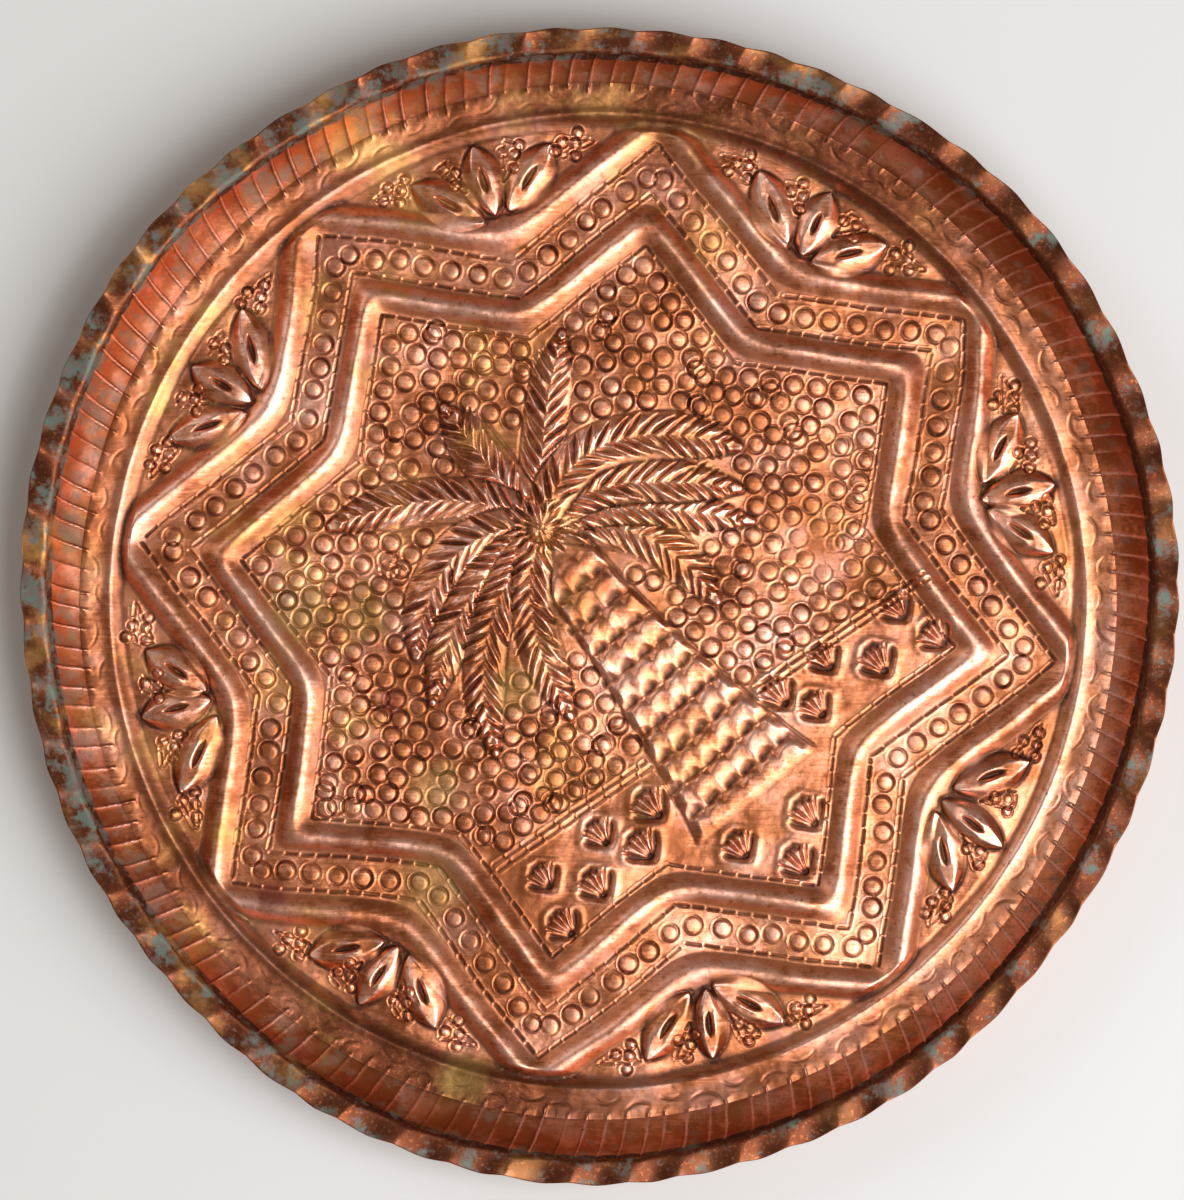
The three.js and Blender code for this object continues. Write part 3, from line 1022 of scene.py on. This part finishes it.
around = np.arange(FLUTES * WALL_COLUMNS) / (FLUTES * WALL_COLUMNS) * 2 * math.pi
turn, rise = np.meshgrid(around, np.linspace(0, 1, WALL_ROWS), indexing="ij")
foot_z = FLOOR - SHEET / 2 + WALL_FOOT_RISE
run, climb = NECK - WALL_FOOT, NECK_HEIGHT - foot_z
slant = math.hypot(run, climb)
inward = pleats(turn, WALL_FOOT - PLEAT_START + rise * slant)
bow = 2.4 * np.sin(math.pi * rise) ** 1.2     # the wall starts flat and steepens as it climbs


def wall_side(offset):
    """Points at an offset towards the tray's inside from the wall's middle surface."""
    neck_shift = 0.5 * out_of_round(turn) * rise**3
    leaning = step_up(rise, 0, 0.15)     # at the foot the sheet still lies level, as the shelf does
    square_off = offset * leaning - bow      # the part of it that is square to the slope
    reach = WALL_FOOT + half + run * rise + neck_shift - square_off * climb / slant
    level_off = offset * (1 - leaning)
    height = foot_z + (climb - half) * rise + (level_off + square_off * run / slant)
    return np.stack([reach * np.cos(turn), reach * np.sin(turn), height], -1)


wall_face = wall_side(SHEET / 2 + inward)
wall_back = wall_side(-SHEET / 2 + 0.6 * inward)[:, ::3]
LIP = NECK + 0.6      # about where the sheet turns back outwards
lip_edge = LIP - 2.4 + out_of_round(turn)
# Painted shadow: the wall's top just under the lip is stored as a deep hollow, so it is painted dark.
painted_lip_shadow = step_up(np.hypot(wall_face[..., 0], wall_face[..., 1]) - lip_edge, -0.7, -0.1)
wall_crest_and_lip_shadow = 1.2 * inward + 0.25 - 1.9 * painted_lip_shadow
wall = ring_piece(
    "creased_wall", "fluted_wall",
    (wall_face, normals_of(wall_face), wall_crest_and_lip_shadow),
    (wall_back, -normals_of(wall_back), np.zeros(wall_back.shape[:2])))

# %% [markdown]
# ## Crimped rim
# At the top the sheet folds inwards to a lip and then turns out flat. The flat flange was
# crimped over a stake into 64 waves, which grow from nothing at the lip to their full height at
# the edge. The edge itself is worn round, and each wave leaves a small scallop in it.

# %% Section of the rim
WAVES = 64
RIM_COLUMNS = 22       # points across one wave
SECTION_POINTS = 38
around = np.arange(WAVES * RIM_COLUMNS) / (WAVES * RIM_COLUMNS) * 2 * math.pi
wave_shake = np.random.default_rng(11).normal(0, 1, (4, WAVES))


def section_line():
    """The middle line of the folded sheet: neck, fold, lip, flange; as reach and height."""
    fold = RIM_HEIGHT - 2.2
    bends = [(NECK, NECK_HEIGHT + half), (NECK - 0.2, NECK_HEIGHT + 0.6), (LIP - 1.2, fold),
                  (LIP - 1.9, RIM_HEIGHT - 1.0), (LIP - 0.9, RIM_HEIGHT - 0.1),
                  (LIP + 0.8, RIM_HEIGHT), (TRAY_RADIUS - 0.5 * SHEET, RIM_HEIGHT)]
    bends = np.array(bends)
    # Each bend is cut twice, at a quarter of its sides, which rounds the line (Chaikin).
    for _ in range(2):
        first, second = bends[:-1], bends[1:]
        cut = np.stack([0.75 * first + 0.25 * second, 0.25 * first + 0.75 * second], 1)
        bends = np.concatenate([bends[:1], cut.reshape(-1, 2), bends[-1:]])
    steps = np.hypot(*np.diff(bends, axis=0).T)
    place = np.concatenate([[0], np.cumsum(steps)])
    even = np.linspace(0, place[-1], SECTION_POINTS)
    return np.stack([np.interp(even, place, bends[:, axis]) for axis in (0, 1)], 1)


line = section_line()
ahead = np.gradient(line, axis=0)
ahead /= np.linalg.norm(ahead, axis=1, keepdims=True)
upward = np.stack([-ahead[:, 1], ahead[:, 0]], 1)
edge_turn = np.linspace(math.pi / 2, -math.pi / 2, 7)[1:-1]
edge = line[-1] + SHEET / 2 * np.stack([np.cos(edge_turn), np.sin(edge_turn)], 1)
upper = np.concatenate([line + SHEET / 2 * upward, edge])
lower = (line - SHEET / 2 * upward)[::2]
print("section of the rim:", len(upper), "points above and", len(lower), "below")


# %% [markdown]
# Each wave has its own width, size and place of its top, so the crimping looks hand-made. A
# column of the section is lifted and pushed out by its place in the wave.

# %% Rim
def crimp(section):
    """Turns a section round the tray, and adds the waves, the scallops and the three lobes."""
    turn = around[:, None]
    reach, height = section[None, :, 0], section[None, :, 1]
    out = np.clip((reach - LIP + 1.5) / (TRAY_RADIUS - LIP + 1.5), 0, 1.05)
    phase = turn / (2 * math.pi) * WAVES + 0.10 * np.sin(5 * turn) + 0.12 * out
    which = np.floor(phase).astype(int) % WAVES
    t = phase - np.floor(phase)
    bend = 0.5 + 0.07 * wave_shake[0, which]
    hump = np.where(t < bend, t / bend, (1 - t) / (1 - bend))
    crisp = 0.55 * hump**1.5 + 0.45 * step_up(hump, 0.0, 1.0)
    size = np.clip(1 + 0.2 * wave_shake[1, which] * hump, 0.5, 1.3)
    wave = WAVE_HEIGHT * (size * crisp * 1.8 - 0.8) * out**0.8 * 0.95
    scallop = EDGE_SCALLOP * (0.5 - crisp) * 1.3 * step_up(out, 0.6, 1.0)
    on_neck = step_up(height, NECK_HEIGHT, NECK_HEIGHT + 2.0)
    shift = out_of_round(turn) * (0.5 + 0.5 * on_neck)
    warp = 0.2 * np.sin(2 * turn + 1.0) * out
    reach = reach + shift + scallop
    height = np.minimum(height + wave + warp, RIM_TOP + 0.8)
    # The waves' tops and the edge are worn bright; the low fold under the lip is pulled down by 0.9, a
    # painted shadow.
    crest_and_shade = 0.9 * (crisp - 0.35) * out + 0.9 * step_up(out, 0.96, 1.0) - 0.9 * (1 - on_neck)
    return np.stack([reach * np.cos(turn), reach * np.sin(turn), height], -1), crest_and_shade


rim_face, rim_crest_and_fold_shade = crimp(upper)
rim_back = crimp(lower)[0]
rim = ring_piece(
    "crimped_flange", "crimped_rim",
    (rim_face, normals_of(rim_face), rim_crest_and_fold_shade),
    (rim_back, -normals_of(rim_back), np.zeros(rim_back.shape[:2])))

# %% [markdown]
# ## Writing finishes as sums
# A shader is a sum, so it reads best as one. This small class wraps a node's output and lets
# the usual signs build Math nodes behind the scenes. Colours are blended with Mix nodes, and
# every other node is made by one method.

# %% Shader arithmetic
class Value:
    """One output of a node tree; the arithmetic signs make Math nodes."""

    def __init__(self, tree, socket):
        """Keeps the tree, because every new node goes into it."""
        self.tree, self.socket = tree, socket

    def math(self, operation, *others):
        """One Math node on this value and the others."""
        node = self.tree.nodes.new("ShaderNodeMath")
        node.operation = operation
        for entry, item in zip(node.inputs, (self,) + others):
            plug(self.tree, entry, item)
        return Value(self.tree, node.outputs[0])

    # The four signs, and the same signs with a plain number on the left.
    def __add__(self, other):
        return self.math("ADD", other)

    def __sub__(self, other):
        return self.math("SUBTRACT", other)

    def __mul__(self, other):
        return self.math("MULTIPLY", other)

    def __truediv__(self, other):
        return self.math("DIVIDE", other)

    def __rsub__(self, other):
        return (self * -1) + other

    def __rtruediv__(self, other):
        return self.math("POWER", -1) * other

    __radd__ = __add__
    __rmul__ = __mul__

    def ramp(self, low, high, at_low=0.0, at_high=1.0):
        """A smooth step from one value to another, as the Map Range node makes it."""
        node = self.tree.nodes.new("ShaderNodeMapRange")
        node.interpolation_type = "SMOOTHSTEP"
        for entry, item in zip(node.inputs, (self, low, high, at_low, at_high)):
            plug(self.tree, entry, item)
        return Value(self.tree, node.outputs[0])


def plug(tree, entry, item):
    """Links a Value to a socket, or writes a plain number, colour or vector into it."""
    if isinstance(item, Value):
        tree.links.new(item.socket, entry)
    elif isinstance(item, tuple) and entry.type == "RGBA":
        entry.default_value = (*item, 1.0)
    else:
        entry.default_value = item


# %% [markdown]
# A Finish is a material that is being built up. It knows its place on the tray in millimetres,
# which every pattern reads, and has a method for each kind of pattern that old copper needs.

# %% Materials and their patterns
class Finish:
    """A material and its node tree."""

    def __init__(self, name):
        """An empty tree, and the place on the tray in millimetres."""
        self.material = bpy.data.materials.new(name)
        self.material.use_nodes = True
        self.tree = self.material.node_tree
        self.tree.nodes.clear()
        self.place = self.node("ShaderNodeTexCoord", output="Object")
        self.place = self.scaled(self.place, 1 / MM)

    def node(self, kind, settings=None, sockets=None, output=0):
        """Any node: its settings first, then its sockets' values or links."""
        made = self.tree.nodes.new(kind)
        for key, value in (settings or {}).items():
            setattr(made, key, value)
        for key, value in (sockets or {}).items():
            plug(self.tree, made.inputs[key], value)
        return Value(self.tree, made.outputs[output]) if made.outputs else None

    def scaled(self, vector, factor):
        """A vector times a number."""
        return self.node("ShaderNodeVectorMath", {"operation": "SCALE"}, {0: vector, "Scale": factor})

    def noise(self, size, detail=3.0, roughness=0.55, distortion=0.0, shift=0.0):
        """Soft random values from 0 to 1 whose blobs are about size millimetres."""
        moved = self.node("ShaderNodeVectorMath", {"operation": "ADD"},
                          {0: self.place, 1: (shift, shift * 0.7, shift * 0.3)})
        return self.node("ShaderNodeTexNoise", {}, {
            "Vector": moved, "Scale": 1 / size, "Detail": detail,
            "Roughness": roughness, "Distortion": distortion}, output="Fac")

    def mix(self, first, second, factor):
        """The first colour where the factor is 0, the second where it is 1."""
        made = self.tree.nodes.new("ShaderNodeMix")
        made.data_type = "RGBA"
        colours = [entry for entry in made.inputs if entry.type == "RGBA"]
        plug(self.tree, made.inputs[0], factor)
        plug(self.tree, colours[0], first)
        plug(self.tree, colours[1], second)
        output = [entry for entry in made.outputs if entry.type == "RGBA"][0]
        return Value(self.tree, output)

    def blot(self, x, y, size):
        """A soft-edged spot on the tray, 1 in the middle; its edge is broken up by noise."""
        away = self.node("ShaderNodeVectorMath", {"operation": "DISTANCE"},
                         {0: self.place, 1: (x, y, FLOOR)}, output="Value")
        ragged = away / size + (self.ragged - 0.5) * 1.5
        return ragged.ramp(0.35, 1.15, 1.0, 0.0)

    def rubbed(self, degrees):
        """Noise drawn out into fine streaks, as a polishing cloth leaves them."""
        turned = self.node("ShaderNodeMapping", {}, {
            "Vector": self.place, "Rotation": (0, 0, math.radians(degrees)),
            "Scale": (0.12, 1.6, 0.5)})
        return self.node("ShaderNodeTexNoise", {}, {
            "Vector": turned, "Scale": 0.8, "Detail": 3.0}, output="Fac")

    def attribute(self, name):
        """The numbers stored on the mesh's points under this name."""
        return self.node("ShaderNodeAttribute", {"attribute_name": name}, output="Fac")

    def done(self, colour, metallic, roughness, bump, bump_height):
        """Joins the finish up: colour, metal share, roughness and a bump in millimetres."""
        normal = self.node("ShaderNodeBump", {}, {
            "Height": bump, "Strength": 1.0, "Distance": bump_height * MM}, output="Normal")
        surface = self.node("ShaderNodeBsdfPrincipled", {}, {
            "Base Color": colour, "Metallic": metallic, "Roughness": roughness,
            "Normal": normal}, output="BSDF")
        self.node("ShaderNodeOutputMaterial", {}, {"Surface": surface})
        return self.material


# %% [markdown]
# ## Old copper
# The copper was left bright on what the hand and the cloth reach, and it is brown to black in
# the bottom of every mark. The crest number stored on each mesh says how far a spot stands
# above the ground round it, so it drives both. On the wall under the lip and in the rim's fold it
# also holds a painted shadow, which turns those strips dark. Over that lie broad cloudy shades of
# pink and brown, small freckles of dark oxide, a few yellow-green blooms and dark red spots where
# something acid stood, and a little verdigris in the wall and on the rim.

# %% The copper's colours and where it is stained
BUMP = 0.06       # height of the finest dents, which only the light shows
BRIGHT = (0.94, 0.56, 0.45)
MIDDLE = (0.79, 0.295, 0.145)
PINK = (0.82, 0.37, 0.26)
BROWN = (0.44, 0.14, 0.055)
# DEEP is the oxide in the marks, and also the painted shadow under the lip.
DEEP = (0.06, 0.018, 0.009)
GOLD = (0.80, 0.42, 0.14)
RUST = (0.42, 0.085, 0.035)
OLIVE = (0.34, 0.24, 0.06)
RED_SPOT = (0.20, 0.03, 0.018)
VERDIGRIS = (0.13, 0.21, 0.17)
GREY = (0.20, 0.15, 0.14)
# TARNISH_AND_SHADE is the rim's tarnish, and also the painted shade on the shelf's top and bottom.
TARNISH_AND_SHADE = (0.15, 0.045, 0.022)

BLOOMS = ((-110, -5, 15), (-86, -4, 13), (-60, -104, 16), (-60, -68, 12), (-31, -33, 11),
          (-50, -175, 12))
SPOTS = ((-110, 22, 6), (-46, -31, 5), (-76, -37, 5), (-120, -109, 7))
RIGHT_WAY = (0.94, -0.34, 0)      # towards the right-hand light; the painted light on the shelf follows it, and the stains lie mostly opposite


def most_of(values):
    """The largest of several values at every spot."""
    most = values[0]
    for value in values[1:]:
        most = most.math("MAXIMUM", value)
    return most


# %% [markdown]
# The colour also carries painted light and shade by place on the tray. It darkens towards and
# up the wall, partly as a darker patina and partly as painted shade, and the plain shelf is painted
# lightest at its right, towards the main light, and darkest at its top and bottom.

# %% Shade by place
def place_on_tray(finish):
    """Distance from the middle, and how far towards the right-hand light: from -1 to 1."""
    level_place = finish.node("ShaderNodeVectorMath", {"operation": "MULTIPLY"},
                              {0: finish.place, 1: (1, 1, 0)})
    reach = finish.node("ShaderNodeVectorMath", {"operation": "LENGTH"},
                        {0: level_place}, output="Value")
    rightward = finish.node("ShaderNodeVectorMath", {"operation": "DOT_PRODUCT"},
                            {0: level_place, 1: RIGHT_WAY}, output="Value") / WALL_FOOT
    return reach, rightward


def painted_place_light(reach, rightward, mottle):
    """Painted shade towards the wall, and painted light and shade round the shelf."""
    # Painted shade towards and up the wall, with a darker patina there too.
    wall_shade_and_patina = (reach + (mottle - 0.5) * 6).ramp(WALL_FOOT - 6, WALL_FOOT + 9) * 0.55
    on_border = reach.ramp(STEP_FOOT - 3, STEP_FOOT + 4)
    sideways = rightward.math("ABSOLUTE")
    # Painted light on the shelf: lightest at its right, towards the main light, darker elsewhere.
    return on_border * (sideways * 0.35 + rightward * 0.2 - 0.30) - wall_shade_and_patina


def painted_shelf_shade(reach, rightward, mottle):
    """The share of painted shade on the shelf: full at top and bottom, none at the sides."""
    on_shelf = reach.ramp(STEP_FOOT - 3, STEP_FOOT + 4)
    on_shelf = on_shelf * reach.ramp(WALL_FOOT - 1, WALL_FOOT + 1, 1.0, 0.0)
    sideways = rightward.math("ABSOLUTE")
    unlit_share = (1 - sideways - rightward * 0.2 + (mottle - 0.5) * 0.6).ramp(0.0, 0.9)
    return unlit_share * on_shelf * 0.9


# %% [markdown]
# The stains come last, over everything else: rust-red and gold clouds, mostly on the left, the
# blooms and spots, and the grey-green verdigris, which sits in the hollows and not on the crests.

# %% Stains
def clouds(finish, colour, leftward):
    """Mixes rust-red and gold into a colour, by two broken-up noises."""
    rust = finish.noise(15, detail=7, roughness=0.75, distortion=0.6, shift=140)
    colour = finish.mix(colour, RUST, rust.ramp(0.56, 0.70) * (leftward * 0.35 + 0.25))
    wash = finish.noise(28, detail=5, roughness=0.6, shift=111)
    return finish.mix(colour, GOLD, wash.ramp(0.50, 0.68) * (leftward * 0.5 + 0.15))


def verdigris_share(finish, salt, crest_and_shade, rightward, amount):
    """Broad patches or fine salt, whichever is more, in the hollows."""
    patch = finish.noise(13, detail=6, roughness=0.7, shift=77)
    side = (rightward * -0.22 + 0.5).ramp(0.2, 0.9, -0.05, 0.04)
    hollow = crest_and_shade * -1
    patches = (patch + side).ramp(0.485, 0.60) * hollow.ramp(-0.9, 0.3) * amount
    grains = salt.ramp(0.59, 0.69) * hollow.ramp(-0.15, 0.15) * amount * 0.8
    return patches.math("MAXIMUM", grains)


# %% [markdown]
# One function makes all five finishes. The zones differ in how bright they were kept, how much dirt
# fills their marks and how dark the painted shadow under the lip is, and how much verdigris and
# tarnish the wall and the rim caught.

# %% Copper
def copper(name, shade, grime_and_shade, roughness, verdigris=0.0, wear=1.0, tarnish=0.0):
    """Copper whose shade runs from 0, dark, to 1, bright; grime deepens the marks and the painted shadow
    under the lip.
    """
    finish = Finish(name)
    finish.ragged = finish.noise(9, detail=5, roughness=0.65, shift=31)
    crest_and_shade = finish.attribute("crest_and_shade")
    cloud = finish.noise(46, detail=4, shift=5)
    mottle = finish.noise(7, detail=6, roughness=0.68, shift=17)
    streak = finish.rubbed(35)
    reach, rightward = place_on_tray(finish)

    tone = (cloud - 0.5) * 2.4 + (mottle - 0.5) * 1.7 + (streak - 0.5) * 0.7 + shade
    # Painted light and shade by place: darker up the wall, lighter at the shelf's right.
    tone = tone + painted_place_light(reach, rightward, mottle)
    colour = finish.mix(BROWN, MIDDLE, tone.ramp(0.10, 0.55))
    blush = finish.noise(21, detail=4, shift=64)
    colour = finish.mix(colour, PINK, blush.ramp(0.50, 0.66) * 0.7)
    colour = finish.mix(colour, BRIGHT, (crest_and_shade * 0.9 * wear + tone * 0.7 - 0.3).ramp(0.0, 0.75))
    # Painted shade on the shelf's top and bottom, away from the main light.
    colour = finish.mix(colour, TARNISH_AND_SHADE, painted_shelf_shade(reach, rightward, mottle))
    colour = finish.mix(colour, TARNISH_AND_SHADE, (1 - crest_and_shade.ramp(0.15, 0.7) * 0.55) * tarnish)
    # Oxide darkens the bottom of every mark; on the wall and rim the same mix paints the shadow under
    # the lip.
    groove_and_shadow = (crest_and_shade * -1 + (mottle - 0.5) * 0.25).ramp(0.02, 0.55) * grime_and_shade
    colour = finish.mix(colour, DEEP, groove_and_shadow)
    freckle = finish.noise(1.7, detail=3, roughness=0.7, shift=50)
    colour = finish.mix(colour, BROWN, freckle.ramp(0.54, 0.70) * 0.8)

    colour = clouds(finish, colour, (rightward * -1).ramp(-0.35, 0.75))
    bloom = most_of([finish.blot(*spot) for spot in BLOOMS])
    colour = finish.mix(colour, OLIVE, bloom * 0.5)
    stain = most_of([finish.blot(*spot) for spot in SPOTS])
    colour = finish.mix(colour, RED_SPOT, stain * 0.75)
    salt = finish.noise(2.6, detail=4, roughness=0.7, shift=210)
    green = verdigris_share(finish, salt, crest_and_shade, rightward, verdigris)
    colour = finish.mix(colour, finish.mix(VERDIGRIS, GREY, salt.ramp(0.42, 0.58)), green)

    dirt_and_shadow = groove_and_shadow * 0.35 + stain * 0.2 + bloom * 0.15 + green * 0.6
    metallic = (1 - dirt_and_shadow).math("MAXIMUM", 0.15)
    rough = (mottle - 0.5) * 0.22 + roughness + dirt_and_shadow * 0.35 - crest_and_shade.ramp(0.1, 0.9) * 0.06
    dents = finish.noise(1.1, detail=4, roughness=0.7, shift=90)
    dents = dents + streak * 0.6 + finish.rubbed(-50) * 0.5
    return finish.done(colour, metallic, rough, dents, BUMP)


finishes = {
    "chased_floor": copper("old_copper_floor", 0.37, 0.95, 0.36),
    "star_ridges": copper("old_copper_ridges", 0.46, 0.8, 0.40),
    "burnished_cove": copper("old_copper_cove", 0.50, 0.95, 0.38),
    "fluted_wall": copper("old_copper_wall", 0.60, 1.0, 0.46, verdigris=0.6, wear=1.1),
    "crimped_rim": copper("old_copper_rim", 0.10, 0.9, 0.42, verdigris=1.0, wear=0.45, tarnish=1.0),
}
zones = {
    "chased_floor": palm_pieces + [ring_band] + leaf_pieces,
    "star_ridges": [inner_ridge, outer_ridge],
    "burnished_cove": [step_ring, cove_ring],
    "fluted_wall": [wall],
    "crimped_rim": [rim],
}
for slot, pieces in zones.items():
    for piece in pieces:
        piece.data.materials.append(finishes[slot])
print("finishes:", ", ".join(finishes))

# %% [markdown]
# ## Table, light and camera
# The tray lies on a pale sheet under soft studio light. Most of the light comes from a broad
# panel at the right, which picks out every mark's right-hand slope; a small one overhead lifts
# the level copper and a weak one fills from the left. The camera hangs two metres up and looks
# straight down.

# %% Studio
def panel(name, place, size, power):
    """A square soft light that faces the middle of the tray."""
    light = bpy.data.lights.new(name, "AREA")
    light.shape = "SQUARE"
    light.size = size
    light.energy = power
    lamp = bpy.data.objects.new(name, light)
    lamp.location = place
    toward = (-lamp.location).to_track_quat("-Z", "Y")
    lamp.rotation_euler = toward.to_euler()
    lamp.visible_camera = False
    bpy.context.collection.objects.link(lamp)
    return lamp


BELOW = 0.0005      # the table lies this far under the tray, so that the two never flicker
bpy.ops.mesh.primitive_plane_add(size=6, location=(0, 0, cad_box[0].z - BELOW))
table = bpy.context.object
table.name = "pale_table"
paper = bpy.data.materials.new("pale_paper")
paper.use_nodes = True
paper.node_tree.nodes["Principled BSDF"].inputs["Base Color"].default_value = (0.78, 0.78, 0.78, 1)
paper.node_tree.nodes["Principled BSDF"].inputs["Roughness"].default_value = 0.9
table.data.materials.append(paper)

world = bpy.data.worlds.new("soft_room")
world.use_nodes = True
world.node_tree.nodes["Background"].inputs["Color"].default_value = (1.0, 0.84, 0.70, 1)
world.node_tree.nodes["Background"].inputs["Strength"].default_value = 0.22
bpy.context.scene.world = world
panel("right_panel", (1.35, -0.85, 1.50), 2.0, 51)
panel("overhead_panel", (0.62, -0.15, 1.9), 0.7, 7.5)
panel("left_panel", (-1.3, 0.9, 1.5), 0.9, 5)
bpy.context.scene.view_settings.view_transform = "Standard"

camera_data = bpy.data.cameras.new("overhead_camera")
camera = bpy.data.objects.new("overhead_camera", camera_data)
bpy.context.collection.objects.link(camera)
camera.location = (-0.00228, 0.00044, 2.029)
camera_data.sensor_fit = "VERTICAL"
camera_data.sensor_height = 36
camera_data.lens = 165.4
camera_data.clip_end = 20
bpy.context.scene.camera = camera

# %% [markdown]
# ## The frame's size
# The frame's box in millimetres; the visual tray is built from its corners to fill the same box.

print("CAD box   ", [round(c / MM, 1) for corner in cad_box for c in corner])
